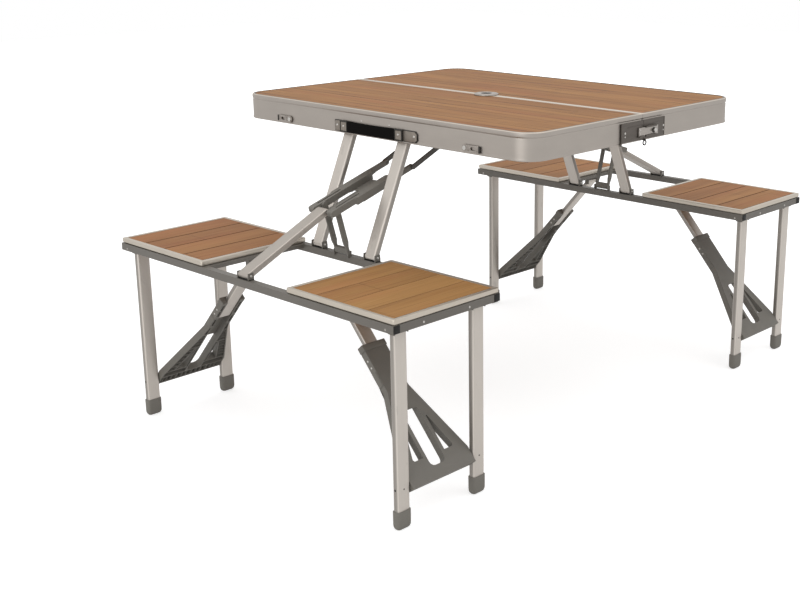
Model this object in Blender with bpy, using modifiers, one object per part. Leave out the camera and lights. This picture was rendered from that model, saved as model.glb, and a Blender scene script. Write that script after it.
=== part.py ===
"""Folding camping picnic table: a case in two halves that opens to a table with two seat units.

Metres, +Z up. The origin is on the floor under the middle of the table. X runs across the seam,
Y runs along it. Half a, with the carrying handle, is at -X, and half b is at +X. Each half carries
one seat unit. In a unit, u is the distance outward from the seam, so x = side * u.
"""

import math

import bmesh
import bpy
import numpy as np
from mathutils import Matrix, Vector

for old in list(bpy.data.objects):
    bpy.data.objects.remove(old, do_unlink=True)

# Gaps
CLEARANCE = 0.0003
PIN_PLAY = 0.0004
SIDE_PLAY = 0.0006

# Table case
TABLE_LENGTH = 0.850
HALF_WIDTH = 0.342
TABLE_HEIGHT = 0.670
RIM_DEPTH = 0.054
RIM_WALL = 0.0033
RIM_LIP = 0.0035
RIM_STEP = 0.0008
RIM_GROOVE = 0.0016
BEAD_WIDTH = 0.008
BEAD_HEIGHT = 0.0105
LEDGE_WIDTH = 0.005
LEDGE_THICKNESS = 0.0018
CORNER_RADIUS = 0.030
CORNER_STEPS = 6
BOARD_THICKNESS = 0.008
BOARD_DROP = 0.0005

# Seam hinges
KNUCKLE_RADIUS = 0.0032
KNUCKLE_LENGTH = 0.020
KNUCKLE_PIN = 0.0012
HINGE_INSET = 0.125

# Umbrella ring
RING_HOLE_RADIUS = 0.0122
RING_NECK_WALL = 0.0022
RING_FLANGE_RADIUS = 0.027
RING_FLANGE_HEIGHT = 0.0032
RING_NECK_DEPTH = 0.012

# Handle
GRIP_LENGTH = 0.141
GRIP_HEIGHT = 0.024
GRIP_THICKNESS = 0.005
GRIP_DROP = 0.0270
BRACKET_LENGTH = 0.042
BRACKET_HEIGHT = 0.024
BRACKET_PLATE = 0.0020
BRACKET_BOX = 0.020
BRACKET_TAB = 0.020
HANDLE_PIN_RADIUS = 0.0012

# Catches
CATCH_INSET = 0.163
CATCH_DROP = 0.043
CATCH_LENGTH = 0.040
CATCH_WIDTH = 0.014
CATCH_THICKNESS = 0.0025
CATCH_PIN_RADIUS = 0.0025
CATCH_HEAD_RADIUS = 0.0045
CATCH_HEAD_HEIGHT = 0.0012

# Lock on the front rim
LOCK_LENGTH = 0.073
LOCK_DROP = 0.0515
LOCK_HEIGHT = 0.039
LOCK_PLATE = 0.0020
BOLT_START = -0.018
BOLT_LENGTH = 0.065
BOLT_HEIGHT = 0.018
BOLT_DROP = 0.0355
BOLT_THICKNESS = 0.003
BOLT_GUIDE = 0.0015
KNOB_PLACE = 0.032
KNOB_RADIUS = 0.0040
KNOB_HEIGHT = 0.006
LOCK_RING_PLACE = 0.005
LOCK_RING_RADIUS = 0.0050
LOCK_RING_WIRE = 0.0009
LOCK_EYE_RADIUS = 0.0015
LOCK_EYE_TAB = 0.0012

# Seat unit frame
OVERALL_WIDTH = 1.360
UNIT_WIDTH = 0.264
UNIT_LENGTH = 0.834
RAIL_SIZE = 0.015
RAIL_TOP = 0.3885
CROSS_BAR_DEPTH = 0.008
CROSS_BAR_WIDTH = 0.015
LUG_THICKNESS = 0.0018
LUG_ROOT = 0.004
LUG_RISE = 0.0055
SUPPORT_LUG_REACH = 0.0068
BAR_LUG_REACH = 0.0065
LINK_LUG_REACH = 0.0048
LEG_LUG_REACH = 0.0070
LEG_LUG_THICKNESS = 0.0012
STRUT_LUG_REACH = 0.006
STRUT_LUG_DROP = 0.005
PIN_RADIUS = 0.0025

# Seats
SEAT_WIDTH = 0.261
SEAT_LENGTH = 0.286
SEAT_HEIGHT = 0.010
TRIM_WIDTH = 0.009
TRIM_LEDGE = 0.005
TRIM_LEDGE_THICKNESS = 0.0018
TRIM_EDGE = 0.0007
SEAT_CORNER_RADIUS = 0.004
SEAT_INNER_RADIUS = 0.0006
SEAT_BOARD_DROP = 0.0003

# Legs, feet, webs and struts
LEG_WIDTH = 0.030
LEG_THICKNESS = 0.014
LEG_PIVOT_DROP = 0.0165
LEG_PIVOT_INSET = 0.023
LEG_OUTER_INSET = 0.0315
LEG_SPACING = 0.193
FOOT_HEIGHT = 0.0245
FOOT_WALL = 0.0010
FOOT_THICK = 0.0015
FOOT_SOLE = 0.0032
WEB_PIVOT_HEIGHT = 0.077
WEB_WIDTH = 0.1606
WEB_END = 0.012
WEB_SHOULDER = 0.020
WEB_NECK = 0.170
WEB_COLLAR = 0.269
WEB_NECK_WIDTH = 0.053
WEB_SKIN = 0.0015
WEB_DROP = 0.0075
WEB_WALL = 0.0022
WEB_SLOT_START = 0.012
WEB_SLOT_END = 0.125
WEB_SLOT_WIDTH = 0.038
WEB_SLOT_BESIDE = 0.008
STRUT_WIDTH = 0.031
STRUT_THICKNESS = 0.012

# Fold linkage when open: pivots by their inset and rise or drop from the rim and the rails
SUPPORT_PLACE = 0.0805
SUPPORT_WIDTH = 0.030
SUPPORT_THICKNESS = 0.014
SUPPORT_RIM_GAP = 0.0031
SUPPORT_TOP_DROP = 0.0190
SUPPORT_FOOT_INSET = 0.0075
SUPPORT_FOOT_RISE = 0.0085
SUPPORT_LUG_BELOW = 0.0075
SUPPORT_LUG_ABOVE = 0.0080
BRACE_FOOT_INSET = 0.0095
BRACE_FOOT_RISE = 0.0080
BRACE_KNEE_INSET = 0.0630
BRACE_KNEE_RISE = 0.0975
ARM_JOINT_INSET = 0.0720
ARM_JOINT_DROP = 0.1190
ARM_TOP_PLACE = 0.0550
ARM_TOP_DROP = 0.0250
ARM_EYE_REACH = 0.006
ARM_EYE_RISE = 0.009
LINK_FOOT_INSET = 0.0140
LINK_FOOT_RISE = 0.0050
LINK_TOP_INSET = 0.0413
LINK_TOP_RISE = 0.1055
LINK_PIN_RADIUS = 0.0020
BAR_WIDTH = 0.030
BAR_THICKNESS = 0.013
LINK_ARM = 0.004
LINK_HEIGHT = 0.007
LINK_WIDE = 0.012
LINK_FLARE_START = 0.014
LINK_FLARE_END = 0.024
LINK_BLOCK = 0.012
CHEEK_WIDTH = 0.016
CHEEK_OUTER = 0.0410
CHEEK_TOP = 0.0060
CHEEK_BOTTOM = 0.0088
CHEEK_TIP_RADIUS = 0.0065
CHEEK_END_RADIUS = 0.0055
FLOOR_START_INSET = 0.1139
FLOOR_END_INSET = 0.0639
TAPER_START_INSET = 0.0589
TAPER_END_INSET = 0.0469
SLOPE_START_INSET = 0.0539
SLOPE_END_INSET = 0.0339
FLOOR_THICKNESS = 0.0018
GROOVE_WIDTH = 0.004
GROOVE_DEPTH = 0.008
GROOVE_START = 0.014
GROOVE_END = 0.078
ARM_HEIGHT = 0.010
ARM_THICKNESS = 0.004
ARM_STRAP_START = 0.030
ARM_STRAP_END = 0.044
ARM_STRAP_TOP = 0.0133
ARM_STRAP_THICKNESS = 0.0014

RIM_BOTTOM = TABLE_HEIGHT - RIM_DEPTH
BOARD_TOP = TABLE_HEIGHT - BOARD_DROP
BOARD_BOTTOM = BOARD_TOP - BOARD_THICKNESS
RAIL_BOTTOM = RAIL_TOP - RAIL_SIZE
UNIT_OUTER = OVERALL_WIDTH / 2
UNIT_INNER = UNIT_OUTER - UNIT_WIDTH
UNIT_END = UNIT_LENGTH / 2
HINGE_PLACE = TABLE_LENGTH / 2 - HINGE_INSET
CATCH_PLACE = TABLE_LENGTH / 2 - CATCH_INSET
GRIP_TOP = TABLE_HEIGHT - GRIP_DROP
CATCH_HEIGHT = TABLE_HEIGHT - CATCH_DROP
LOCK_BOTTOM = TABLE_HEIGHT - LOCK_DROP
BOLT_MIDDLE = TABLE_HEIGHT - BOLT_DROP
LEG_PIVOT_HEIGHT = RAIL_TOP - LEG_PIVOT_DROP
SEAT_BOTTOM = RAIL_TOP + CLEARANCE
SEAT_CENTRE = UNIT_OUTER - UNIT_WIDTH / 2
CROSS_BAR_PLACE = UNIT_END - SEAT_LENGTH
LEG_PIVOT_PLACE = UNIT_END - LEG_PIVOT_INSET
LEG_OUTER = UNIT_OUTER - LEG_OUTER_INSET
LEG_INNER = LEG_OUTER - LEG_SPACING
LEG_MIDDLE = (LEG_OUTER + LEG_INNER) / 2
CHEEK_INNER = BAR_WIDTH / 2 + 2 * SIDE_PLAY + LINK_ARM
ARM_INNER = CHEEK_OUTER + SIDE_PLAY

# Pivots as (distance outward, height)
SUPPORT_BOTTOM = Vector((UNIT_INNER + SUPPORT_FOOT_INSET, RAIL_TOP + SUPPORT_FOOT_RISE))
BRACE_FOOT = Vector((UNIT_OUTER - BRACE_FOOT_INSET, RAIL_TOP + BRACE_FOOT_RISE))
BRACE_KNEE = Vector((UNIT_INNER + BRACE_KNEE_INSET, RAIL_TOP + BRACE_KNEE_RISE))
ARM_JOINT = Vector((HALF_WIDTH - ARM_JOINT_INSET, TABLE_HEIGHT - ARM_JOINT_DROP))
ARM_TOP = Vector((ARM_TOP_PLACE, TABLE_HEIGHT - ARM_TOP_DROP))
LINK_FOOT = Vector((UNIT_INNER + LINK_FOOT_INSET, RAIL_TOP + LINK_FOOT_RISE))
LINK_TOP = Vector((UNIT_INNER + LINK_TOP_INSET, RAIL_TOP + LINK_TOP_RISE))



def support_top():
    """The support leg's upper pivot: the leg leans past the rim's lower inner edge with a named gap."""
    edge = Vector((HALF_WIDTH - RIM_WALL, RIM_BOTTOM)) - SUPPORT_BOTTOM
    spread = math.asin((SUPPORT_THICKNESS / 2 + SUPPORT_RIM_GAP) / edge.length)
    lean = math.atan2(edge[1], edge[0]) + spread
    rise = TABLE_HEIGHT - SUPPORT_TOP_DROP - SUPPORT_BOTTOM[1]
    return SUPPORT_BOTTOM + Vector((rise / math.tan(lean), rise))


SUPPORT_TOP = support_top()

SIDES = {"a": -1.0, "b": 1.0}
ENDS = {"front": -1.0, "back": 1.0}

model = bpy.data.collections.new("camping_picnic_table")
cutters = bpy.data.collections.new("cutters")
bpy.context.scene.collection.children.link(model)
bpy.context.scene.collection.children.link(cutters)

FINISH = {
    "aluminium": ((0.62, 0.59, 0.56), 0.35, 1.0),
    "bamboo": ((0.42, 0.22, 0.10), 0.55, 0.0),
    "dark_metal": ((0.11, 0.105, 0.10), 0.45, 0.6),
    "dark_plastic": ((0.10, 0.10, 0.095), 0.55, 0.0),
    "black_plastic": ((0.012, 0.011, 0.010), 0.6, 0.0),
    "steel": ((0.50, 0.49, 0.47), 0.3, 1.0),
}


def paint(obj, finish):
    """Give an object its own material."""
    colour, roughness, metallic = FINISH[finish]
    material = bpy.data.materials.new(obj.name + "_" + finish)
    material.use_nodes = True
    shader = material.node_tree.nodes["Principled BSDF"]
    shader.inputs["Base Color"].default_value = (*colour, 1.0)
    shader.inputs["Roughness"].default_value = roughness
    shader.inputs["Metallic"].default_value = metallic
    obj.data.materials.clear()
    obj.data.materials.append(material)


def keep(mesh, name, finish=None):
    """Link a mesh as a part if it has a finish, else as a tool shape for a Boolean."""
    obj = bpy.data.objects.new(name, mesh)
    if finish:
        model.objects.link(obj)
        paint(obj, finish)
    else:
        cutters.objects.link(obj)
        obj.hide_render = True
        obj.display_type = "WIRE"
    return obj


def from_bmesh(work, name, finish=None):
    """Turn a bmesh into an object with outward faces."""
    bmesh.ops.recalc_face_normals(work, faces=work.faces)
    mesh = bpy.data.meshes.new(name)
    work.to_mesh(mesh)
    work.free()
    return keep(mesh, name, finish)


def box(name, low, high, finish=None, edge=0.0):
    """A box between two corners, its edges bevelled where edge is set."""
    low = Vector(low)
    high = Vector(high)
    size = Vector([abs(h - l) for l, h in zip(low, high)])
    work = bmesh.new()
    bmesh.ops.create_cube(work, size=1.0)
    bmesh.ops.scale(work, vec=size, verts=work.verts)
    bmesh.ops.translate(work, vec=(low + high) / 2, verts=work.verts)
    if edge:
        bmesh.ops.bevel(
            work, geom=work.edges[:], offset=edge, segments=1, affect="EDGES"
        )
    return from_bmesh(work, name, finish)


def turned_between(axis, start, end):
    """Matrix that lays a cylinder of height 1 along a world axis from start to end."""
    across = {"X": Matrix.Rotation(math.pi / 2, 4, "Y"), "Y": Matrix.Rotation(math.pi / 2, 4, "X")}
    turn = across.get(axis, Matrix.Identity(4))
    length = (Vector(end) - Vector(start)).length
    middle = (Vector(start) + Vector(end)) / 2
    return Matrix.Translation(middle) @ turn @ Matrix.Diagonal((1, 1, length, 1))


def rod(name, axis, start, end, radius, finish=None, steps=16):
    """A cylinder along a world axis."""
    work = bmesh.new()
    bmesh.ops.create_cone(
        work, cap_ends=True, segments=steps, radius1=radius, radius2=radius, depth=1.0,
        matrix=turned_between(axis, start, end),
    )
    return from_bmesh(work, name, finish)


def placed(origin, along, up):
    """Matrix whose local X runs along, local Y runs up and local Z is their cross product."""
    ex = Vector(along).normalized()
    ey = Vector(up).normalized()
    ez = ex.cross(ey)
    columns = (ex.to_4d(), ey.to_4d(), ez.to_4d())
    matrix = Matrix.Identity(4)
    for index, column in enumerate(columns):
        for row in range(3):
            matrix[row][index] = column[row]
    matrix.translation = Vector(origin)
    return matrix


def slab(name, loops, thickness, matrix, finish=None, lift=0.0):
    """A flat outline, with any holes, extruded about its plane and laid by a matrix."""
    curve = bpy.data.curves.new(name + "_outline", "CURVE")
    curve.dimensions = "2D"
    curve.fill_mode = "BOTH"
    curve.extrude = thickness / 2
    for loop in loops:
        spline = curve.splines.new("POLY")
        spline.points.add(len(loop) - 1)
        spline.points.foreach_set("co", [v for p in loop for v in (p[0], p[1], 0.0, 1.0)])
        spline.use_cyclic_u = True
    guide = bpy.data.objects.new(name + "_outline", curve)
    cutters.objects.link(guide)
    evaluated = guide.evaluated_get(bpy.context.evaluated_depsgraph_get())
    mesh = bpy.data.meshes.new_from_object(evaluated)
    bpy.data.objects.remove(guide)
    work = bmesh.new()
    work.from_mesh(mesh)
    bmesh.ops.remove_doubles(work, verts=work.verts, dist=0.00001)
    bmesh.ops.dissolve_limit(work, angle_limit=0.001, verts=work.verts, edges=work.edges)
    bmesh.ops.transform(work, matrix=matrix @ Matrix.Translation((0, 0, lift)), verts=work.verts)
    return from_bmesh(work, name, finish)


def combine(target, operation, tools):
    """Add one Boolean modifier to a part for each tool shape."""
    for tool in tools:
        step = target.modifiers.new(operation.lower() + "_" + tool.name, "BOOLEAN")
        step.operation = operation
        step.solver = "EXACT"
        step.object = tool


def fuse(target, *tools):
    combine(target, "UNION", tools)


def cut(target, *tools):
    combine(target, "DIFFERENCE", tools)


def turned(name, section, steps, finish):
    """A closed section of (radius, height) points, clockwise, turned round the Z axis."""
    mesh = bpy.data.meshes.new(name)
    count = len(section)
    edges = [(i, (i + 1) % count) for i in range(count)]
    mesh.from_pydata([(radius, 0.0, height) for radius, height in section], edges, [])
    obj = keep(mesh, name, finish)
    screw = obj.modifiers.new("turn", "SCREW")
    screw.steps = steps
    screw.render_steps = steps
    screw.use_merge_vertices = True
    screw.merge_threshold = 0.00001
    return obj


def arc(centre, radius, start, end, steps):
    """Points on an arc, angles in degrees."""
    angles = np.radians(np.linspace(start, end, steps + 1))
    return [(centre[0] + radius * math.cos(a), centre[1] + radius * math.sin(a)) for a in angles]


def rounded_outline(low, high, radii, steps=CORNER_STEPS):
    """A rectangle with its own radius at each corner, from the low corner anticlockwise."""
    corners = ((low[0], low[1]), (high[0], low[1]), (high[0], high[1]), (low[0], high[1]))
    inward = ((1, 1), (-1, 1), (-1, -1), (1, -1))
    loop = []
    for corner, way, radius, start in zip(corners, inward, radii, (180, 270, 0, 90)):
        if radius <= 0:
            loop.append(corner)
            continue
        centre = (corner[0] + way[0] * radius, corner[1] + way[1] * radius)
        loop += arc(centre, radius, start, start + 90, steps)
    return loop


def join_rings(work, rings):
    """Faces between each ring of points and the next, the last ring joined to the first."""
    for ring, following in zip(rings, rings[1:] + rings[:1]):
        for i, vert in enumerate(ring):
            j = (i + 1) % len(ring)
            work.faces.new((vert, ring[j], following[j], following[i]))


def swept_frame(name, low, high, radii, section, finish):
    """A closed extrusion: a section of (inset, height) points carried round a rounded rectangle."""
    work = bmesh.new()
    rings = []
    for inset, height in section:
        shrunk = [r - inset if r else 0.0 for r in radii]
        loop = rounded_outline(
            (low[0] + inset, low[1] + inset), (high[0] - inset, high[1] - inset), shrunk
        )
        rings.append([work.verts.new((x, y, height)) for x, y in loop])
    join_rings(work, rings)
    return from_bmesh(work, name, finish)


def pill(start, end, radius, steps=8):
    """The outline of a bar with round ends about two pivots."""
    start = Vector(start)
    end = Vector(end)
    angle = math.degrees(math.atan2(end[1] - start[1], end[0] - start[0]))
    return arc(start, radius, angle + 90, angle + 270, steps) + arc(
        end, radius, angle - 90, angle + 90, steps
    )


def side_plane(side, lateral=0.0):
    """Local (outward, height) laid in the vertical plane across the seam at y = lateral."""
    return placed((0, lateral, 0), (side, 0, 0), (0, 0, 1))


def world(side, point, lateral):
    """A pivot given as (outward, height) as a world point at y = lateral."""
    return Vector((side * point[0], lateral, point[1]))


def cross_pin(name, side, point, low, high, radius, finish=None):
    """A pin along Y through a pivot, from y = low to y = high."""
    return rod(name, "Y", world(side, point, low), world(side, point, high), radius, finish)


def side_box(name, side, low, high, finish=None, edge=0.0):
    """A box given by (outward, y, height) corners."""
    start = (side * low[0], low[1], low[2])
    end = (side * high[0], high[1], high[2])
    return box(name, start, end, finish, edge)


def hinge_pivot(name, place, pieces):
    """An empty on a joint's axis that carries the pieces that move about it."""
    pivot = bpy.data.objects.new(name, None)
    model.objects.link(pivot)
    pivot.location = place
    pivot.empty_display_size = 0.02
    for piece in pieces:
        piece.parent = pivot
        piece.matrix_parent_inverse = Matrix.Translation(-Vector(place))
    return pivot


def rim_section():
    """The rim extrusion: outer lip, face, groove and bead, then the ledge and the inner wall."""
    top = TABLE_HEIGHT
    groove = top - BEAD_HEIGHT
    ledge = BOARD_BOTTOM - CLEARANCE
    return (
        (0.0, RIM_BOTTOM),
        (0.0, RIM_BOTTOM + RIM_LIP),
        (RIM_STEP, RIM_BOTTOM + RIM_LIP + RIM_STEP),
        (RIM_STEP, groove - RIM_STEP),
        (RIM_GROOVE, groove),
        (0.0, groove + RIM_GROOVE),
        (0.0, top - RIM_GROOVE),
        (RIM_GROOVE, top),
        (BEAD_WIDTH, top),
        (BEAD_WIDTH, ledge),
        (BEAD_WIDTH + LEDGE_WIDTH, ledge),
        (BEAD_WIDTH + LEDGE_WIDTH, ledge - LEDGE_THICKNESS),
        (RIM_WALL, ledge - LEDGE_THICKNESS),
        (RIM_WALL, RIM_BOTTOM),
    )


def half_corners(side, inset):
    """Low and high plan corners of one table half and its corner radii, inset on all sides."""
    near = side * (CLEARANCE + inset)
    far = side * (HALF_WIDTH - inset)
    low = (min(near, far), -TABLE_LENGTH / 2 + inset)
    high = (max(near, far), TABLE_LENGTH / 2 - inset)
    round_low = CORNER_RADIUS - inset if side < 0 else 0.0
    round_high = CORNER_RADIUS - inset if side > 0 else 0.0
    return low, high, (round_low, round_high, round_high, round_low)


def table_rim(letter, side):
    """One half's rim with its lugs, its hinge knuckles and the umbrella notch."""
    low, high, radii = half_corners(side, 0.0)
    rim = swept_frame("table_rim_" + letter, low, high, radii, rim_section(), "aluminium")
    add_knuckles(rim, letter, side)
    for end, way in ENDS.items():
        add_support_lugs(rim, letter, side, end, way)
        add_arm_lug(rim, letter, side, end, way)
    notch_radius = RING_HOLE_RADIUS + RING_NECK_WALL + CLEARANCE
    notch = rod(
        "notch_" + letter, "Z", (0, 0, RIM_BOTTOM - 0.01), (0, 0, TABLE_HEIGHT + 0.01), notch_radius,
        steps=24,
    )
    cut(rim, notch)
    return rim


def add_knuckles(rim, letter, side):
    """Hinge knuckles on the seam's lower edge. Half a has the outer ones and the pins."""
    for end, way in ENDS.items():
        centre = way * HINGE_PLACE
        reach = 1.5 * KNUCKLE_LENGTH
        relief = rod(
            f"relief_{end}_{letter}", "Y", (0, centre - reach - CLEARANCE, RIM_BOTTOM),
            (0, centre + reach + CLEARANCE, RIM_BOTTOM), KNUCKLE_RADIUS + PIN_PLAY,
        )
        cut(rim, relief)
        shifts = (-KNUCKLE_LENGTH, KNUCKLE_LENGTH) if side < 0 else (0.0,)
        for index, shift in enumerate(shifts):
            start = centre + shift - KNUCKLE_LENGTH / 2 + CLEARANCE
            end_y = centre + shift + KNUCKLE_LENGTH / 2 - CLEARANCE
            tag = f"{end}_{letter}_{index}"
            barrel = rod(
                "barrel_" + tag, "Y", (0, start, RIM_BOTTOM), (0, end_y, RIM_BOTTOM), KNUCKLE_RADIUS
            )
            neck = side_box(
                "neck_" + tag, side, (CLEARANCE, start, RIM_BOTTOM),
                (RIM_WALL, end_y, RIM_BOTTOM + 2 * KNUCKLE_RADIUS),
            )
            fuse(rim, barrel, neck)
            if side > 0:
                bore = rod(
                    "bore_" + tag, "Y", (0, start - 0.01, RIM_BOTTOM), (0, end_y + 0.01, RIM_BOTTOM),
                    KNUCKLE_PIN + PIN_PLAY,
                )
                cut(rim, bore)
        if side < 0:
            pin = rod(
                f"hinge_pin_{end}", "Y", (0, centre - reach + 0.001, RIM_BOTTOM),
                (0, centre + reach - 0.001, RIM_BOTTOM), KNUCKLE_PIN,
            )
            fuse(rim, pin)


def add_support_lugs(rim, letter, side, end, way):
    """Two lugs on the rim's inner wall and the pin that a support leg swings on."""
    centre = way * SUPPORT_PLACE
    half = SUPPORT_WIDTH / 2 + SIDE_PLAY
    for index, face in enumerate((-half - LUG_THICKNESS, half)):
        lug = side_box(
            f"support_lug_{end}_{letter}_{index}", side,
            (SUPPORT_TOP[0] - SUPPORT_LUG_ABOVE, centre + face, SUPPORT_TOP[1] - SUPPORT_LUG_BELOW),
            (HALF_WIDTH - RIM_WALL / 2, centre + face + LUG_THICKNESS, SUPPORT_TOP[1] + SUPPORT_LUG_ABOVE),
        )
        fuse(rim, lug)
    pin = cross_pin(
        f"support_pin_{end}_{letter}", side, SUPPORT_TOP, centre - half - LUG_THICKNESS / 2,
        centre + half + LUG_THICKNESS / 2, PIN_RADIUS,
    )
    fuse(rim, pin)


def add_arm_lug(rim, letter, side, end, way):
    """A lug from the seam wall, raised over the folded rail, with the hole for an arm's pin."""
    inner = way * (ARM_INNER + ARM_THICKNESS + SIDE_PLAY)
    outer = way * (ARM_INNER + ARM_THICKNESS + SIDE_PLAY + 2 * LUG_THICKNESS)
    shank = side_box(
        f"arm_lug_{end}_{letter}", side, (RIM_WALL / 2, inner, ARM_TOP[1] - ARM_EYE_REACH / 6),
        (ARM_TOP[0] + ARM_EYE_REACH, outer, ARM_TOP[1] + ARM_EYE_RISE),
    )
    eye = side_box(
        f"arm_eye_{end}_{letter}", side, (ARM_TOP[0] - ARM_EYE_REACH, inner, ARM_TOP[1] - ARM_EYE_REACH),
        (ARM_TOP[0] + ARM_EYE_REACH, outer, ARM_TOP[1] + ARM_EYE_RISE),
    )
    hole = cross_pin(
        f"arm_hole_{end}_{letter}", side, ARM_TOP, inner - way * 0.002, outer + way * 0.002,
        PIN_RADIUS + PIN_PLAY,
    )
    fuse(rim, shank, eye)
    cut(rim, hole)


def table_board(letter, side):
    """One half's bamboo board, let into the rim and cut out round the umbrella ring."""
    low, high, radii = half_corners(side, BEAD_WIDTH + CLEARANCE)
    middle = (BOARD_TOP + BOARD_BOTTOM) / 2
    board = slab(
        "table_board_" + letter, [rounded_outline(low, high, radii)], BOARD_THICKNESS,
        Matrix.Translation((0, 0, middle)), "bamboo",
    )
    hole = rod(
        "board_hole_" + letter, "Z", (0, 0, BOARD_BOTTOM - 0.01), (0, 0, BOARD_TOP + 0.01),
        RING_FLANGE_RADIUS + CLEARANCE, steps=32,
    )
    cut(board, hole)
    return board


def umbrella_ring():
    """The ring round the umbrella hole: a flange on the rims' beads and a neck between them."""
    neck = RING_HOLE_RADIUS + RING_NECK_WALL
    low = TABLE_HEIGHT + CLEARANCE
    top = low + RING_FLANGE_HEIGHT
    profile = (
        (RING_HOLE_RADIUS, top - 0.0008),
        (RING_HOLE_RADIUS + 0.001, top),
        (RING_FLANGE_RADIUS - 0.004, top),
        (RING_FLANGE_RADIUS, low + 0.0008),
        (RING_FLANGE_RADIUS, low),
        (neck, low),
        (neck, TABLE_HEIGHT - RING_NECK_DEPTH),
        (RING_HOLE_RADIUS, TABLE_HEIGHT - RING_NECK_DEPTH),
    )
    return turned("umbrella_ring", profile, 32, "aluminium")


def handle():
    """The swinging grip and the two riveted brackets that hold its pins."""
    face = HALF_WIDTH + CLEARANCE
    axis = (face + GRIP_THICKNESS / 2, GRIP_TOP - GRIP_THICKNESS / 2)
    half = GRIP_LENGTH / 2
    grip = slab(
        "handle_grip", [pill(axis, (axis[0], axis[1] - GRIP_HEIGHT + GRIP_THICKNESS), GRIP_THICKNESS / 2)],
        GRIP_LENGTH, side_plane(-1), "black_plastic",
    )
    bore = cross_pin("grip_bore", -1, axis, -half - 0.01, half + 0.01, HANDLE_PIN_RADIUS + PIN_PLAY)
    cut(grip, bore)
    hinge_pivot("handle_pivot", world(-1, axis, 0), [grip])
    low = GRIP_TOP - BRACKET_HEIGHT
    for end, way in ENDS.items():
        start = half + SIDE_PLAY
        tab = BRACKET_TAB if end == "front" else 0.0
        bracket = side_box(
            "handle_bracket_" + end, -1, (face, way * (start + BRACKET_BOX), low),
            (face + BRACKET_PLATE, way * (start + BRACKET_LENGTH + tab), low + BRACKET_HEIGHT), "steel",
        )
        raised = side_box(
            "bracket_box_" + end, -1, (face, way * start, low),
            (face + GRIP_THICKNESS + 0.001, way * (start + BRACKET_BOX + 0.002), low + BRACKET_HEIGHT),
        )
        pin = cross_pin(
            "bracket_pin_" + end, -1, axis, way * (start - 0.010), way * (start + 0.005),
            HANDLE_PIN_RADIUS,
        )
        fuse(bracket, raised, pin)


def catch(end, way, rim_a, rim_b):
    """A flat hook that turns on a rivet in rim a and drops over a peg on rim b in the closed case."""
    face = HALF_WIDTH + CLEARANCE
    pivot = (way * CATCH_PLACE, CATCH_HEIGHT)
    tip = (pivot[0] + way * CATCH_LENGTH, CATCH_HEIGHT)
    plane = placed((-face - CATCH_THICKNESS / 2, 0, 0), (0, 1, 0), (0, 0, 1))
    middle = (pivot[0] + way * 2 * (CATCH_HEIGHT - RIM_BOTTOM), CATCH_HEIGHT)
    lever = slab("catch_" + end, [pill(pivot, tip, CATCH_WIDTH / 2)], CATCH_THICKNESS, plane, "steel")
    reach = (-face - CATCH_THICKNESS - 0.01, -face + 0.01)
    rivet_hole = rod(
        "catch_rivet_hole_" + end, "X", (reach[0], *pivot), (reach[1], *pivot),
        CATCH_PIN_RADIUS + PIN_PLAY,
    )
    peg_hole = rod(
        "catch_peg_hole_" + end, "X", (reach[0], *middle), (reach[1], *middle),
        CATCH_PIN_RADIUS + PIN_PLAY,
    )
    cut(lever, rivet_hole, peg_hole)
    hinge_pivot("catch_pivot_" + end, (-face, *pivot), [lever])
    head = -face - CATCH_THICKNESS - CLEARANCE
    shank = rod(
        "catch_shank_" + end, "X", (head - CATCH_HEAD_HEIGHT / 2, *pivot),
        (-HALF_WIDTH + RIM_WALL / 2, *pivot), CATCH_PIN_RADIUS,
    )
    cap = rod(
        "catch_cap_" + end, "X", (head - CATCH_HEAD_HEIGHT, *pivot), (head, *pivot), CATCH_HEAD_RADIUS
    )
    peg = rod(
        "catch_peg_" + end, "X", (HALF_WIDTH - RIM_WALL / 2, *pivot),
        (face + CATCH_THICKNESS, *pivot), CATCH_PIN_RADIUS,
    )
    fuse(rim_a, shank, cap)
    fuse(rim_b, peg)


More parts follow.
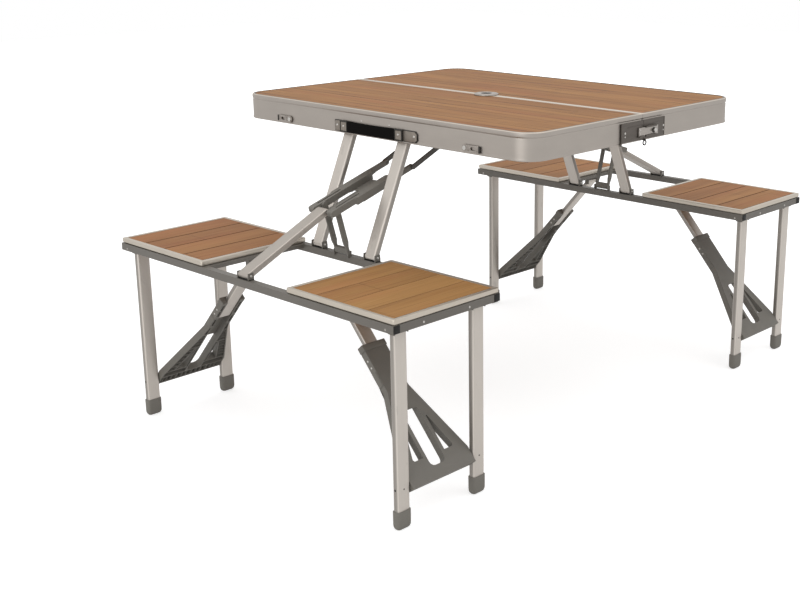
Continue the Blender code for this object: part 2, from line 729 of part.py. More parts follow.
def lock():
    """The sliding bolt across the seam, its two plates with guides, and the hanging ring."""
    front = -TABLE_LENGTH / 2 - CLEARANCE
    plate_front = front - LOCK_PLATE
    bolt_back = plate_front - CLEARANCE
    bolt_front = bolt_back - BOLT_THICKNESS
    guide_front = bolt_front - CLEARANCE - BOLT_GUIDE
    bolt_low = BOLT_MIDDLE - BOLT_HEIGHT / 2
    bolt_high = BOLT_MIDDLE + BOLT_HEIGHT / 2
    top = LOCK_BOTTOM + LOCK_HEIGHT
    plates = {}
    for letter, side in SIDES.items():
        plate = side_box(
            "lock_plate_" + letter, side, (CLEARANCE, front, LOCK_BOTTOM),
            (LOCK_LENGTH, plate_front, top), "dark_metal",
        )
        start = CLEARANCE if side < 0 else 0.004
        stop = -BOLT_START if side < 0 else 0.040
        guides = (("low", bolt_low, -1), ("high", bolt_high, 1))
        for name, edge, way in guides[:1] if side < 0 else guides:
            foot = side_box(
                f"guide_foot_{name}_{letter}", side,
                (start, plate_front + 0.001, edge + way * CLEARANCE),
                (stop, guide_front, edge + way * (CLEARANCE + BOLT_GUIDE)),
            )
            lip = side_box(
                f"guide_lip_{name}_{letter}", side,
                (start, bolt_front - CLEARANCE, edge + way * (CLEARANCE + BOLT_GUIDE)),
                (stop, guide_front, edge - way * BOLT_GUIDE),
            )
            fuse(plate, foot, lip)
        plates[letter] = plate
    bolt = box(
        "lock_bolt", (BOLT_START, bolt_front, bolt_low), (BOLT_START + BOLT_LENGTH, bolt_back, bolt_high),
        "steel",
    )
    knob = rod(
        "knob", "Y", (KNOB_PLACE, bolt_back - 0.001, BOLT_MIDDLE),
        (KNOB_PLACE, bolt_front - KNOB_HEIGHT, BOLT_MIDDLE), KNOB_RADIUS,
    )
    fuse(bolt, knob)
    hinge_pivot("lock_slide", (0, bolt_front, BOLT_MIDDLE), [bolt])
    add_lock_ring(plates["b"], front)


def add_lock_ring(plate, front):
    """A small ring that hangs through an eye under plate b."""
    y = front - LOCK_PLATE / 2 - LOCK_EYE_RADIUS
    z = LOCK_BOTTOM - LOCK_EYE_RADIUS - 0.0004
    low = LOCK_RING_PLACE - LOCK_EYE_TAB / 2
    tab = box(
        "eye_tab", (low, front, z - LOCK_EYE_RADIUS - 0.0010),
        (low + LOCK_EYE_TAB, y - LOCK_EYE_RADIUS - 0.0010, LOCK_BOTTOM + 0.001),
    )
    eye = rod("eye_hole", "X", (low - 0.002, y, z), (low + LOCK_EYE_TAB + 0.002, y, z), LOCK_EYE_RADIUS)
    cut(tab, eye)
    fuse(plate, tab)
    wire = arc((LOCK_RING_RADIUS, 0), LOCK_RING_WIRE, 0, -300, 5)
    ring = turned("lock_ring", wire, 20, "steel")
    ring.location = (LOCK_RING_PLACE, y, z - LOCK_RING_RADIUS)
    ring.rotation_euler = (math.pi / 2, 0, 0)
    hinge_pivot("lock_ring_pivot", (LOCK_RING_PLACE, y, z), [ring])


def seat_frame(letter, side):
    """The dark frame: two rails, two end bars, two cross bars, and every lug and pin on it."""
    frame = side_box(
        "seat_frame_" + letter, side, (UNIT_INNER, -UNIT_END, RAIL_BOTTOM),
        (UNIT_OUTER, UNIT_END, RAIL_TOP), "dark_metal",
    )
    opening = side_box(
        "frame_opening_" + letter, side, (UNIT_INNER + RAIL_SIZE, -UNIT_END + RAIL_SIZE, RAIL_BOTTOM - 0.01),
        (UNIT_OUTER - RAIL_SIZE, UNIT_END - RAIL_SIZE, RAIL_TOP + 0.01),
    )
    cut(frame, opening)
    for end, way in ENDS.items():
        middle, half = way * CROSS_BAR_PLACE, CROSS_BAR_WIDTH / 2
        bar = side_box(
            f"cross_bar_{end}_{letter}", side,
            (UNIT_INNER + RAIL_SIZE / 2, middle - half, RAIL_TOP - CROSS_BAR_DEPTH),
            (UNIT_OUTER - RAIL_SIZE / 2, middle + half, RAIL_TOP),
        )
        fuse(frame, bar)
        add_leg_lugs(frame, letter, side, end, way)
        add_strut_lugs(frame, letter, side, end, way)
        add_rail_lugs(
            frame, f"support_{end}_{letter}", side, SUPPORT_BOTTOM, way * SUPPORT_PLACE,
            SUPPORT_WIDTH / 2, PIN_RADIUS, SUPPORT_LUG_REACH,
        )
    add_rail_lugs(
        frame, "bar_" + letter, side, BRACE_FOOT, 0.0, BAR_WIDTH / 2, PIN_RADIUS, BAR_LUG_REACH,
    )
    add_rail_lugs(
        frame, "link_" + letter, side, LINK_FOOT, 0.0, BAR_WIDTH / 2 + SIDE_PLAY + LINK_ARM,
        LINK_PIN_RADIUS, LINK_LUG_REACH,
    )
    return frame


def add_rail_lugs(frame, tag, side, pivot, centre, half, pin_radius, reach):
    """Two upright lugs on a rail and the pin between them."""
    gap = half + SIDE_PLAY
    for index, face in enumerate((-gap - LUG_THICKNESS, gap)):
        lug = side_box(
            f"rail_lug_{tag}_{index}", side,
            (pivot[0] - reach, centre + face, RAIL_TOP - LUG_ROOT),
            (pivot[0] + reach, centre + face + LUG_THICKNESS, pivot[1] + LUG_RISE),
        )
        fuse(frame, lug)
    pin = cross_pin(
        "rail_pin_" + tag, side, pivot, centre - gap - LUG_THICKNESS / 2, centre + gap + LUG_THICKNESS / 2,
        pin_radius,
    )
    fuse(frame, pin)


def add_leg_lugs(frame, letter, side, end, way):
    """Lugs under the end bar on both sides of each leg, with the leg's hinge pin."""
    y = way * LEG_PIVOT_PLACE
    for name, centre in (("outer", LEG_OUTER), ("inner", LEG_INNER)):
        half = LEG_WIDTH / 2 + SIDE_PLAY / 2
        for index, face in enumerate((-half - LEG_LUG_THICKNESS, half)):
            lug = side_box(
                f"leg_lug_{name}_{end}_{letter}_{index}", side,
                (centre + face, way * (LEG_PIVOT_PLACE - LEG_LUG_REACH), LEG_PIVOT_HEIGHT - LEG_LUG_REACH),
                (
                    centre + face + LEG_LUG_THICKNESS, way * (UNIT_END - RAIL_SIZE + LUG_THICKNESS / 2),
                    RAIL_TOP - LUG_ROOT,
                ),
            )
            fuse(frame, lug)
        pin = rod(
            f"leg_pin_{name}_{end}_{letter}", "X",
            (side * (centre - half - LEG_LUG_THICKNESS / 2), y, LEG_PIVOT_HEIGHT),
            (side * (centre + half + LEG_LUG_THICKNESS / 2), y, LEG_PIVOT_HEIGHT), PIN_RADIUS,
        )
        fuse(frame, pin)


def strut_pivot(way):
    """The (y, z) place of a strut's upper pin under its cross bar."""
    return Vector((way * CROSS_BAR_PLACE, LEG_PIVOT_HEIGHT))


def add_strut_lugs(frame, letter, side, end, way):
    """Two lugs under a cross bar with the pin that a strut swings on."""
    pivot = strut_pivot(way)
    half = STRUT_WIDTH / 2 + SIDE_PLAY
    for index, face in enumerate((-half - LUG_THICKNESS, half)):
        lug = side_box(
            f"strut_lug_{end}_{letter}_{index}", side,
            (LEG_MIDDLE + face, pivot[0] - STRUT_LUG_REACH, pivot[1] - STRUT_LUG_DROP),
            (LEG_MIDDLE + face + LUG_THICKNESS, pivot[0] + STRUT_LUG_REACH, RAIL_TOP - CROSS_BAR_DEPTH / 4),
        )
        fuse(frame, lug)
    pin = rod(
        f"strut_pin_{end}_{letter}", "X",
        (side * (LEG_MIDDLE - half - LUG_THICKNESS / 2), *pivot),
        (side * (LEG_MIDDLE + half + LUG_THICKNESS / 2), *pivot), PIN_RADIUS,
    )
    fuse(frame, pin)


def seat(letter, side, end, way):
    """A seat: an aluminium edge trim with a ledge and the bamboo board that lies on it."""
    start = side * (SEAT_CENTRE - SEAT_WIDTH / 2)
    stop = side * (SEAT_CENTRE + SEAT_WIDTH / 2)
    inner = way * (UNIT_END - SEAT_LENGTH)
    outer = way * UNIT_END
    low = (min(start, stop), min(inner, outer))
    high = (max(start, stop), max(inner, outer))
    top = SEAT_BOTTOM + SEAT_HEIGHT
    ledge = SEAT_BOTTOM + TRIM_LEDGE_THICKNESS
    section = (
        (0.0, SEAT_BOTTOM),
        (0.0, top - TRIM_EDGE),
        (TRIM_EDGE, top),
        (TRIM_WIDTH - TRIM_EDGE, top),
        (TRIM_WIDTH, top - TRIM_EDGE),
        (TRIM_WIDTH, ledge),
        (TRIM_WIDTH + TRIM_LEDGE, ledge),
        (TRIM_WIDTH + TRIM_LEDGE, SEAT_BOTTOM),
    )
    trim = seat_trim(f"seat_trim_{end}_{letter}", low, high, section)
    inset = TRIM_WIDTH + CLEARANCE
    board_bottom = ledge + CLEARANCE
    board_top = top - SEAT_BOARD_DROP
    board = box(
        f"seat_board_{end}_{letter}", (low[0] + inset, low[1] + inset, board_bottom),
        (high[0] - inset, high[1] - inset, board_top), "bamboo",
    )
    return trim, board


def seat_trim(name, low, high, section):
    """The trim's section carried round the seat, its corners rounded outside and sharper inside."""
    work = bmesh.new()
    rings = []
    for inset, height in section:
        radius = max(SEAT_CORNER_RADIUS - inset, SEAT_INNER_RADIUS)
        loop = rounded_outline(
            (low[0] + inset, low[1] + inset), (high[0] - inset, high[1] - inset), (radius,) * 4, 3
        )
        rings.append([work.verts.new((x, y, height)) for x, y in loop])
    join_rings(work, rings)
    return from_bmesh(work, name, "aluminium")


def leg(letter, side, name, centre, end, way):
    """A leg tube with a round top about its hinge pin."""
    y = way * LEG_PIVOT_PLACE
    plane = placed((side * centre, 0, 0), (0, 1, 0), (0, 0, 1))
    half = LEG_THICKNESS / 2
    foot = FOOT_SOLE + CLEARANCE
    outline = [(y - half, foot), (y + half, foot)] + arc((y, LEG_PIVOT_HEIGHT), half, 0, 180, 8)
    tube = slab(f"leg_{name}_{end}_{letter}", [outline], LEG_WIDTH, plane, "aluminium")
    hinge_hole = rod(
        f"leg_hole_{name}_{end}_{letter}", "X", (side * (centre - LEG_WIDTH), y, LEG_PIVOT_HEIGHT),
        (side * (centre + LEG_WIDTH), y, LEG_PIVOT_HEIGHT), PIN_RADIUS + PIN_PLAY,
    )
    cut(tube, hinge_hole)
    return tube


def foot_cap(letter, side, name, centre, end, way):
    """A plastic cap pushed over the end of a leg, its sole rounded."""
    y = way * LEG_PIVOT_PLACE
    inner_x = LEG_WIDTH / 2 + CLEARANCE
    inner_y = LEG_THICKNESS / 2 + CLEARANCE
    outer_x = inner_x + FOOT_WALL - CLEARANCE
    outer_y = inner_y + FOOT_THICK
    plane = placed((0, y, 0), (side, 0, 0), (0, 0, 1))
    outline = rounded_outline(
        (centre - outer_x, 0.0), (centre + outer_x, FOOT_HEIGHT), (0.008, 0.008, 0.0, 0.0), 4
    )
    cap = slab(f"foot_{name}_{end}_{letter}", [outline], 2 * outer_y, plane, "dark_plastic")
    pocket = side_box(
        f"foot_pocket_{name}_{end}_{letter}", side, (centre - inner_x, y - inner_y, FOOT_SOLE),
        (centre + inner_x, y + inner_y, FOOT_HEIGHT + 0.01),
    )
    cut(cap, pocket)
    return cap


def brace_line(way):
    """Web pivot, unit direction up to the strut's pin, and the web's length to the knee."""
    low = Vector((way * LEG_PIVOT_PLACE, WEB_PIVOT_HEIGHT))
    high = strut_pivot(way)
    total = (high - low).length
    drop = LEG_PIVOT_HEIGHT - WEB_PIVOT_HEIGHT
    offset = CROSS_BAR_PLACE - (LEG_PIVOT_PLACE - drop)
    return low, (high - low) / total, (total + offset) / 2


def web_matrix(side, way):
    """Local X along the web from its lower edge, local Y across it, local Z out of its face."""
    low, along, _ = brace_line(way)
    origin = (side * LEG_MIDDLE, low[0], low[1])
    ex = Vector((0, along[0], along[1]))
    ez = Vector((0, way * along[1], -way * along[0]))
    ey = ez.cross(ex)
    return placed(origin, ex, ey)


def web_spread(place):
    """Half the web's width at a distance along it from the pivot."""
    share = (place - WEB_SHOULDER) / (WEB_NECK - WEB_SHOULDER)
    return WEB_WIDTH / 2 + (WEB_NECK_WIDTH - WEB_WIDTH) / 2 * min(max(share, 0.0), 1.0)


def mirrored(loops):
    """The loops and their mirror images across the web's middle."""
    return loops + [[(s, -c) for s, c in loop[::-1]] for loop in loops]


def web_cells():
    """The pockets on the open side, left between ribs on both sides of the lane."""
    inner = WEB_SLOT_WIDTH / 2 + WEB_WALL
    cells = []
    for start, stop in ((0.0125, 0.0290), (0.0315, 0.1080), (0.1105, 0.1520), (0.1545, 0.1800)):
        far_start = web_spread(start) - WEB_WALL
        far_stop = web_spread(stop) - WEB_WALL
        cells.append([(start, inner), (stop, inner), (stop, far_stop), (start, far_start)])
    edge, bottom = web_spread(0.0) - WEB_WALL, -WEB_END + WEB_WALL
    for start, stop in ((0.0010, 0.0380), (0.0400, edge)):
        cells.append([(bottom, start), (0.0100, start), (0.0100, stop), (bottom, stop)])
    side_wall = STRUT_WIDTH / 2 + SIDE_PLAY + WEB_WALL
    for start, stop in ((0.1865, 0.2100), (0.2205, 0.2390), (0.2410, 0.2600)):
        edge = WEB_NECK_WIDTH / 2 - WEB_WALL
        cells.append([(start, side_wall), (stop, side_wall), (stop, edge), (start, edge)])
    return mirrored(cells)


def web(letter, side, end, way):
    """The moulded web: slots through its face, the strut's lane, and pockets between ribs."""
    _, _, knee = brace_line(way)
    matrix = web_matrix(side, way)
    tag = f"{end}_{letter}"
    inside = STRUT_THICKNESS / 2 + 0.0004
    face = inside + WEB_SKIN
    half = WEB_WIDTH / 2
    neck = WEB_NECK_WIDTH / 2
    outline = [(-WEB_END, -half), (WEB_SHOULDER, -half), (WEB_NECK, -neck), (WEB_COLLAR, -neck)]
    outline += [(s, -c) for s, c in outline[::-1]]
    piece = slab(
        "leg_web_" + tag, [outline], face + WEB_DROP, matrix, "dark_plastic", lift=(face - WEB_DROP) / 2
    )
    slot = WEB_SLOT_WIDTH / 2
    central = rounded_outline((WEB_SLOT_START, -slot), (WEB_SLOT_END, slot), (0.010, 0.006, 0.006, 0.010), 3)
    near = slot + WEB_SLOT_BESIDE
    narrow = [
        (0.032, near), (0.102, near), (0.104, near + 0.002), (0.036, near + 0.0235), (0.032, near + 0.021),
    ]
    slots = slab("web_slots_" + tag, [central] + mirrored([narrow]), WEB_NECK_WIDTH, matrix)
    lane = [(WEB_SLOT_END - 0.01, -slot), (0.182, -slot), (0.182, slot), (WEB_SLOT_END - 0.01, slot)]
    depth = inside + WEB_DROP + 0.002
    lift = (inside - WEB_DROP - 0.002) / 2
    lane_cut = slab("web_lane_" + tag, [lane], depth, matrix, lift=lift)
    tight = STRUT_WIDTH / 2 + SIDE_PLAY
    mouth = [(0.18, -tight), (WEB_COLLAR + 0.01, -tight), (WEB_COLLAR + 0.01, tight), (0.18, tight)]
    mouth_cut = slab("web_mouth_" + tag, [mouth], depth + 0.0001, matrix, lift=lift)
    cells = slab("web_cells_" + tag, web_cells(), depth - 0.0001, matrix, lift=lift)
    cut(piece, slots, lane_cut, mouth_cut, cells)
    knee_pin = across_pin("knee_pin_" + tag, matrix, knee, tight + WEB_WALL / 2, PIN_RADIUS)
    fuse(piece, knee_pin)
    return piece, matrix @ Vector((knee, 0, 0))


def across_pin(name, matrix, place, reach, radius):
    """A pin along X at a distance along the web, reaching to both sides."""
    centre = matrix @ Vector((place, 0, 0))
    return rod(name, "X", centre - Vector((reach, 0, 0)), centre + Vector((reach, 0, 0)), radius)


def strut(letter, side, end, way):
    """The flat tube between the cross bar and the knee in the web."""
    low, along, knee = brace_line(way)
    pivot = strut_pivot(way)
    knee_point = low + along * knee
    plane = placed((side * LEG_MIDDLE, 0, 0), (0, 1, 0), (0, 0, 1))
    bar = slab(
        f"leg_strut_{end}_{letter}", [pill(knee_point, pivot, STRUT_THICKNESS / 2)], STRUT_WIDTH, plane,
        "aluminium",
    )
    for name, place in (("top", pivot), ("knee", knee_point)):
        hole = rod(
            f"strut_hole_{name}_{end}_{letter}", "X", (side * (LEG_MIDDLE - STRUT_WIDTH), *place),
            (side * (LEG_MIDDLE + STRUT_WIDTH), *place), PIN_RADIUS + PIN_PLAY,
        )
        cut(bar, hole)
    return bar


def leg_pair(letter, side, end, way):
    """Two legs with their caps, and the web and strut that brace them."""
    moving = []
    for name, centre in (("outer", LEG_OUTER), ("inner", LEG_INNER)):
        moving.append(leg(letter, side, name, centre, end, way))
        moving.append(foot_cap(letter, side, name, centre, end, way))
    y = way * LEG_PIVOT_PLACE
    hinge_pivot(f"leg_pivot_{end}_{letter}", (side * LEG_MIDDLE, y, LEG_PIVOT_HEIGHT), moving)
    bar = strut(letter, side, end, way)
    hinge_pivot(f"strut_pivot_{end}_{letter}", (side * LEG_MIDDLE, *strut_pivot(way)), [bar])
    piece, knee = web(letter, side, end, way)
    hinge_pivot(f"knee_pivot_{end}_{letter}", knee, [piece])


def support_leg(letter, side, end, way):
    """The tube between the rim and the inner rail that carries the table half."""
    centre = way * SUPPORT_PLACE
    tube = slab(
        f"support_leg_{end}_{letter}", [pill(SUPPORT_BOTTOM, SUPPORT_TOP, SUPPORT_THICKNESS / 2)],
        SUPPORT_WIDTH, side_plane(side, centre), "aluminium",
    )
    for name, point in (("top", SUPPORT_TOP), ("foot", SUPPORT_BOTTOM)):
        hole = cross_pin(
            f"support_hole_{name}_{end}_{letter}", side, point,
            centre - SUPPORT_WIDTH, centre + SUPPORT_WIDTH, PIN_RADIUS + PIN_PLAY,
        )
        cut(tube, hole)
    hinge_pivot(f"support_pivot_{end}_{letter}", world(side, SUPPORT_TOP, centre), [tube])


def brace_bar(letter, side):
    """The diagonal tube from the outer rail up to the knee in the channel piece."""
    bar = slab(
        "brace_bar_" + letter, [pill(BRACE_FOOT, BRACE_KNEE, BAR_THICKNESS / 2)], BAR_WIDTH,
        side_plane(side), "aluminium",
    )
    hole = cross_pin(
        "brace_hole_" + letter, side, BRACE_FOOT, -BAR_WIDTH, BAR_WIDTH, PIN_RADIUS + PIN_PLAY
    )
    cut(bar, hole)
    hinge_pivot("brace_pivot_" + letter, world(side, BRACE_FOOT, 0), [bar])


def brace_channel(letter, side):
    """The moulded channel: two grooved cheeks and the floor between them near the arms."""
    along = ARM_JOINT - BRACE_KNEE
    length = along.length
    along = along / length
    outward = Vector((side * along[0], 0, along[1]))
    normal = Vector((side * along[1], 0, -along[0])) * (1 if along[0] < 0 else -1)
    origin = world(side, BRACE_KNEE, 0)
    across = normal.cross(outward)
    plan = placed(origin, outward, across)
    tip = -0.008
    end = length + CHEEK_END_RADIUS
    near = CHEEK_INNER + CHEEK_WIDTH
    floor_start = length - FLOOR_START_INSET
    floor_end = length - FLOOR_END_INSET
    slope_start = length - SLOPE_START_INSET
    slope_end = length - SLOPE_END_INSET
    cheek = [
        (tip, CHEEK_INNER + 0.003),
        (tip, near - 0.004),
        (tip + 0.004, near),
        (0.055, near),
        (0.065, CHEEK_OUTER),
        (end, CHEEK_OUTER),
        (end, CHEEK_OUTER - 0.0065),
        (length - TAPER_END_INSET, CHEEK_OUTER - 0.0065),
        (length - TAPER_START_INSET, CHEEK_INNER),
        (tip + 0.003, CHEEK_INNER),
    ]
    height = 0.04
    block = slab("brace_channel_" + letter, [cheek], height, plan, "dark_plastic")
    other = slab("cheek_" + letter, [[(s, -c) for s, c in cheek]], height, plan)
    floor = slab(
        "floor_" + letter,
        [[(floor_start, -CHEEK_INNER - 0.002), (floor_end, -CHEEK_INNER - 0.002),
          (floor_end, CHEEK_INNER + 0.002), (floor_start, CHEEK_INNER + 0.002)]],
        FLOOR_THICKNESS, plan, lift=-CHEEK_BOTTOM + FLOOR_THICKNESS / 2,
    )
    fuse(block, other, floor)
    elevation = placed(origin, outward, normal)
    radius = CHEEK_END_RADIUS
    profile = (
        arc((0.0, 0.0), CHEEK_TIP_RADIUS, 90, 270, 6)
        + [(floor_start - 0.015, -CHEEK_TIP_RADIUS), (floor_start - 0.005, -CHEEK_BOTTOM)]
        + [(slope_start, -CHEEK_BOTTOM), (slope_end, -radius)]
        + arc((length, 0), radius, -90, 90, 6)
        + [(slope_end, radius), (slope_start, CHEEK_TOP)]
    )
    shape = slab("channel_shape_" + letter, [profile], 2 * CHEEK_OUTER + 0.01, elevation)
    combine(block, "INTERSECT", [shape])
    for index, way in enumerate((-1, 1)):
        middle = way * (CHEEK_INNER + CHEEK_WIDTH / 2)
        groove = slab(
            f"groove_{letter}_{index}",
            [[(GROOVE_START, middle - GROOVE_WIDTH / 2), (GROOVE_END, middle - GROOVE_WIDTH / 2),
              (GROOVE_END, middle + GROOVE_WIDTH / 2), (GROOVE_START, middle + GROOVE_WIDTH / 2)]],
            2 * GROOVE_DEPTH, plan, lift=CHEEK_TOP,
        )
        hole = cross_pin(
            f"channel_hole_{letter}_{index}", side, ARM_JOINT, way * (CHEEK_OUTER - 0.012),
            way * (CHEEK_OUTER + 0.004), PIN_RADIUS + PIN_PLAY,
        )
        cut(block, groove, hole)
    hinge_pivot("channel_pivot_" + letter, world(side, ARM_JOINT, 0), [block])


def brace_arms(letter, side):
    """Two flat arms from the channel to the seam wall, joined by a strap near their top pins."""
    middle = ARM_INNER + ARM_THICKNESS / 2
    length = (ARM_JOINT - ARM_TOP).length
    along = (ARM_JOINT - ARM_TOP) / length
    up = Vector((-along[1], along[0]))
    radius = ARM_HEIGHT / 2
    outline = arc((length, 0), radius, -90, 90, 8) + [
        (ARM_STRAP_END, radius), (ARM_STRAP_END, ARM_STRAP_TOP),
        (ARM_STRAP_START, ARM_STRAP_TOP), (ARM_STRAP_START, radius),
    ] + arc((0, 0), radius, 90, 270, 8)
    arms = []
    for name, way in (("brace_arms_", -1), ("second_arm_", 1)):
        plane = placed(world(side, ARM_TOP, way * middle), (side * along[0], 0, along[1]),
                       (side * up[0], 0, up[1]))
        arms.append(slab(name + letter, [outline], ARM_THICKNESS, plane, "dark_metal" if way < 0 else None))
    inset = 0.0003
    strap_plane = placed(world(side, ARM_TOP, 0), (side * along[0], 0, along[1]), (side * up[0], 0, up[1]))
    low = ARM_STRAP_TOP - ARM_STRAP_THICKNESS
    corners = [
        (ARM_STRAP_START + inset, low), (ARM_STRAP_END - inset, low),
        (ARM_STRAP_END - inset, ARM_STRAP_TOP - inset), (ARM_STRAP_START + inset, ARM_STRAP_TOP - inset),
    ]
    strap = slab("arm_strap_" + letter, [corners], 2 * middle, strap_plane)
    fuse(arms[0], arms[1], strap)
    for index, way in enumerate(ENDS.values()):
        joint_pin = cross_pin(
            f"arm_joint_pin_{letter}_{index}", side, ARM_JOINT, way * (CHEEK_OUTER - 0.0065),
            way * middle, PIN_RADIUS,
        )
        top_pin = cross_pin(
            f"arm_top_pin_{letter}_{index}", side, ARM_TOP, way * middle,
            way * (ARM_INNER + ARM_THICKNESS + SIDE_PLAY + 2 * LUG_THICKNESS), PIN_RADIUS,
        )
        fuse(arms[0], joint_pin, top_pin)
    hinge_pivot("arms_pivot_" + letter, world(side, ARM_TOP, 0), [arms[0]])


def lift_link(letter, side):
    """The forked link from the inner rail up into the channel's cheeks."""
    half = BAR_WIDTH / 2 + SIDE_PLAY + LINK_ARM
    length = (LINK_TOP - LINK_FOOT).length
    along = (LINK_TOP - LINK_FOOT) / length
    across = Vector((-along[1], along[0]))
    narrow = LINK_HEIGHT / 2
    wide = LINK_WIDE / 2
    outline = arc((0.0, 0.0), narrow, 90, 270, 8) + [
        (LINK_FLARE_START, -narrow), (LINK_FLARE_END, -wide),
    ] + arc((length, 0.0), wide, -90, 90, 8) + [(LINK_FLARE_END, wide), (LINK_FLARE_START, narrow)]
    plane = placed(
        world(side, LINK_FOOT, 0), (side * along[0], 0, along[1]), (side * across[0], 0, across[1])
    )
    link = slab("lift_link_" + letter, [outline], 2 * half, plane, "dark_plastic")
    start = LINK_FOOT + along * LINK_BLOCK
    finish = LINK_TOP + along * 2 * wide
    up = across * 2 * wide
    gap = slab(
        "link_gap_" + letter, [[start - up, finish - up, finish + up, start + up]],
        2 * (half - LINK_ARM), side_plane(side),
    )
    hole = cross_pin(
        "link_hole_" + letter, side, LINK_FOOT, -half - 0.01, half + 0.01, LINK_PIN_RADIUS + PIN_PLAY
    )
    cut(link, gap, hole)
    hinge_pivot("link_pivot_" + letter, world(side, LINK_FOOT, 0), [link])


def build():
    rims = {}
    for letter, side in SIDES.items():
        rims[letter] = table_rim(letter, side)
        table_board(letter, side)
        seat_frame(letter, side)
        for end, way in ENDS.items():
            seat(letter, side, end, way)
            leg_pair(letter, side, end, way)
            support_leg(letter, side, end, way)
        brace_bar(letter, side)
        brace_channel(letter, side)
        brace_arms(letter, side)
        lift_link(letter, side)
    umbrella_ring()
    handle()
    for end, way in ENDS.items():
        catch(end, way, rims["a"], rims["b"])
    lock()


build()
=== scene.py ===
import math

import bmesh
import bpy
import numpy as np
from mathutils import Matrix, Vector


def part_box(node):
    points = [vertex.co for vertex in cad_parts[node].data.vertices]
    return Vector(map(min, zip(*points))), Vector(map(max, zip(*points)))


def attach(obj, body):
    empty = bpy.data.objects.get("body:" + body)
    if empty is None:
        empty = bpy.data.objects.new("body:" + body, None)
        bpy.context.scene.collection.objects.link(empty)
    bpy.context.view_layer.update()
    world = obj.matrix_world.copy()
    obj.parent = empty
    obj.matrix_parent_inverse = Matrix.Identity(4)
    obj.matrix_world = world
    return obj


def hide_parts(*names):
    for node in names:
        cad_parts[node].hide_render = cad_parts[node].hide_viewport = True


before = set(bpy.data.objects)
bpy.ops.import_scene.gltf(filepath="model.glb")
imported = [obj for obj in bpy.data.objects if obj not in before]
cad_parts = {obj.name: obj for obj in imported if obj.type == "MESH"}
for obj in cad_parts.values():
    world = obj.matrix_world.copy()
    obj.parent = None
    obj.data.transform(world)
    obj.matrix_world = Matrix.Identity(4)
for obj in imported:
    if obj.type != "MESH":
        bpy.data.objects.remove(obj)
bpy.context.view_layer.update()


# The picture: a pale floor under a white surround, soft lamps from above and both near sides,
# and a camera beside the corner between the handle's side and the lock's side.


class Level:
    """A value that varies over a surface. Sums, products and powers of it add their Math nodes."""

    def __init__(self, finish, socket):
        self.finish = finish
        self.socket = socket

    def worked(self, operation, other=0.0):
        """What a Math node makes of this value and the other, in that order."""
        return self.finish.node("ShaderNodeMath", {"operation": operation}, {0: self, 1: other})

    def __add__(self, other):
        return self.worked("ADD", other)

    __radd__ = __add__

    def __sub__(self, other):
        return self.worked("SUBTRACT", other)

    def __rsub__(self, other):
        return self * -1.0 + other

    def __mul__(self, other):
        return self.worked("MULTIPLY", other)

    def __truediv__(self, other):
        return self.worked("DIVIDE", other)

    def __pow__(self, other):
        return self.worked("POWER", other)

    def __gt__(self, other):
        return self.worked("GREATER_THAN", other)

    def __lt__(self, other):
        return self.worked("LESS_THAN", other)

    def clamped(self):
        """This value, held between 0 and 1."""
        return self.finish.node("ShaderNodeClamp", {}, {0: self})


class Finish:
    """A material: plain values on its shader's sockets, and nodes for what varies over it."""

    def __init__(self, name, colour, roughness, metallic=0.0, **more):
        self.material = bpy.data.materials.new(name)
        self.material.use_nodes = True
        self.tree = self.material.node_tree
        self.shader = self.tree.nodes["Principled BSDF"]
        self.shader.inputs["Base Color"].default_value = (*colour, 1.0)
        self.shader.inputs["Roughness"].default_value = roughness
        self.shader.inputs["Metallic"].default_value = metallic
        for socket, value in more.items():
            self.shader.inputs[socket.replace("_", " ")].default_value = value

    def node(self, kind, settings=None, sockets=None, out=0):
        """One node of any kind: its settings first, then values or links for its sockets."""
        made = self.tree.nodes.new(kind)
        for key, value in (settings or {}).items():
            setattr(made, key, value)
        for key, value in (sockets or {}).items():
            self.join(value, made.inputs[key])
        return Level(self, made.outputs[out])

    def join(self, value, socket):
        """Link a level to a socket, or set the socket to a plain value."""
        if isinstance(value, Level):
            self.tree.links.new(value.socket, socket)
        else:
            socket.default_value = value

    def vary(self, socket, value):
        """Give one of the shader's sockets a level."""
        self.join(value, self.shader.inputs[socket])

    def place(self):
        """Object coordinates, in metres."""
        return self.node("ShaderNodeTexCoord", out="Object")

    def axes(self, *which):
        """Object coordinates along single axes, where 0 is x, 1 is y and 2 is z."""
        return [self.node("ShaderNodeSeparateXYZ", {}, {0: self.place()}, axis) for axis in which]

    def noise(self, waves, detail=2.0):
        """Noise on Object coordinates, with one number of waves a metre or one for each axis."""
        scale = waves if isinstance(waves, tuple) else (waves,) * 3
        stretched = self.node("ShaderNodeMapping", {}, {"Vector": self.place(), "Scale": scale})
        sockets = {"Vector": stretched, "Scale": 1.0, "Detail": detail}
        return self.node("ShaderNodeTexNoise", {}, sockets, "Fac")

    def between(self, amount, low, high):
        """The colour that goes from low to high as the amount goes from 0 to 1."""
        ends = [c if isinstance(c, Level) else (*c, 1.0) for c in (low, high)]
        sockets = {0: amount, 6: ends[0], 7: ends[1]}
        return self.node("ShaderNodeMix", {"data_type": "RGBA"}, sockets, 2)

    def mottle(self, level, rough, span, *shades):
        """Roughness rough + span * level, and by the same level a colour between two shades."""
        self.vary("Roughness", level * span + rough)
        if shades:
            self.vary("Base Color", self.between(level, *shades))

    def relief(self, height, distance):
        """Fine relief that rises by height * distance."""
        sockets = {"Height": height, "Distance": distance, "Strength": 1.0}
        self.vary("Normal", self.node("ShaderNodeBump", {}, sockets))


def shade(red, green, blue):
    """A colour from screen values of 0 to 255, as the linear values that the shader takes."""
    screen = np.array((red, green, blue)) / 255
    return tuple(np.where(screen < 0.04045, screen / 12.92, ((screen + 0.055) / 1.055) ** 2.4))


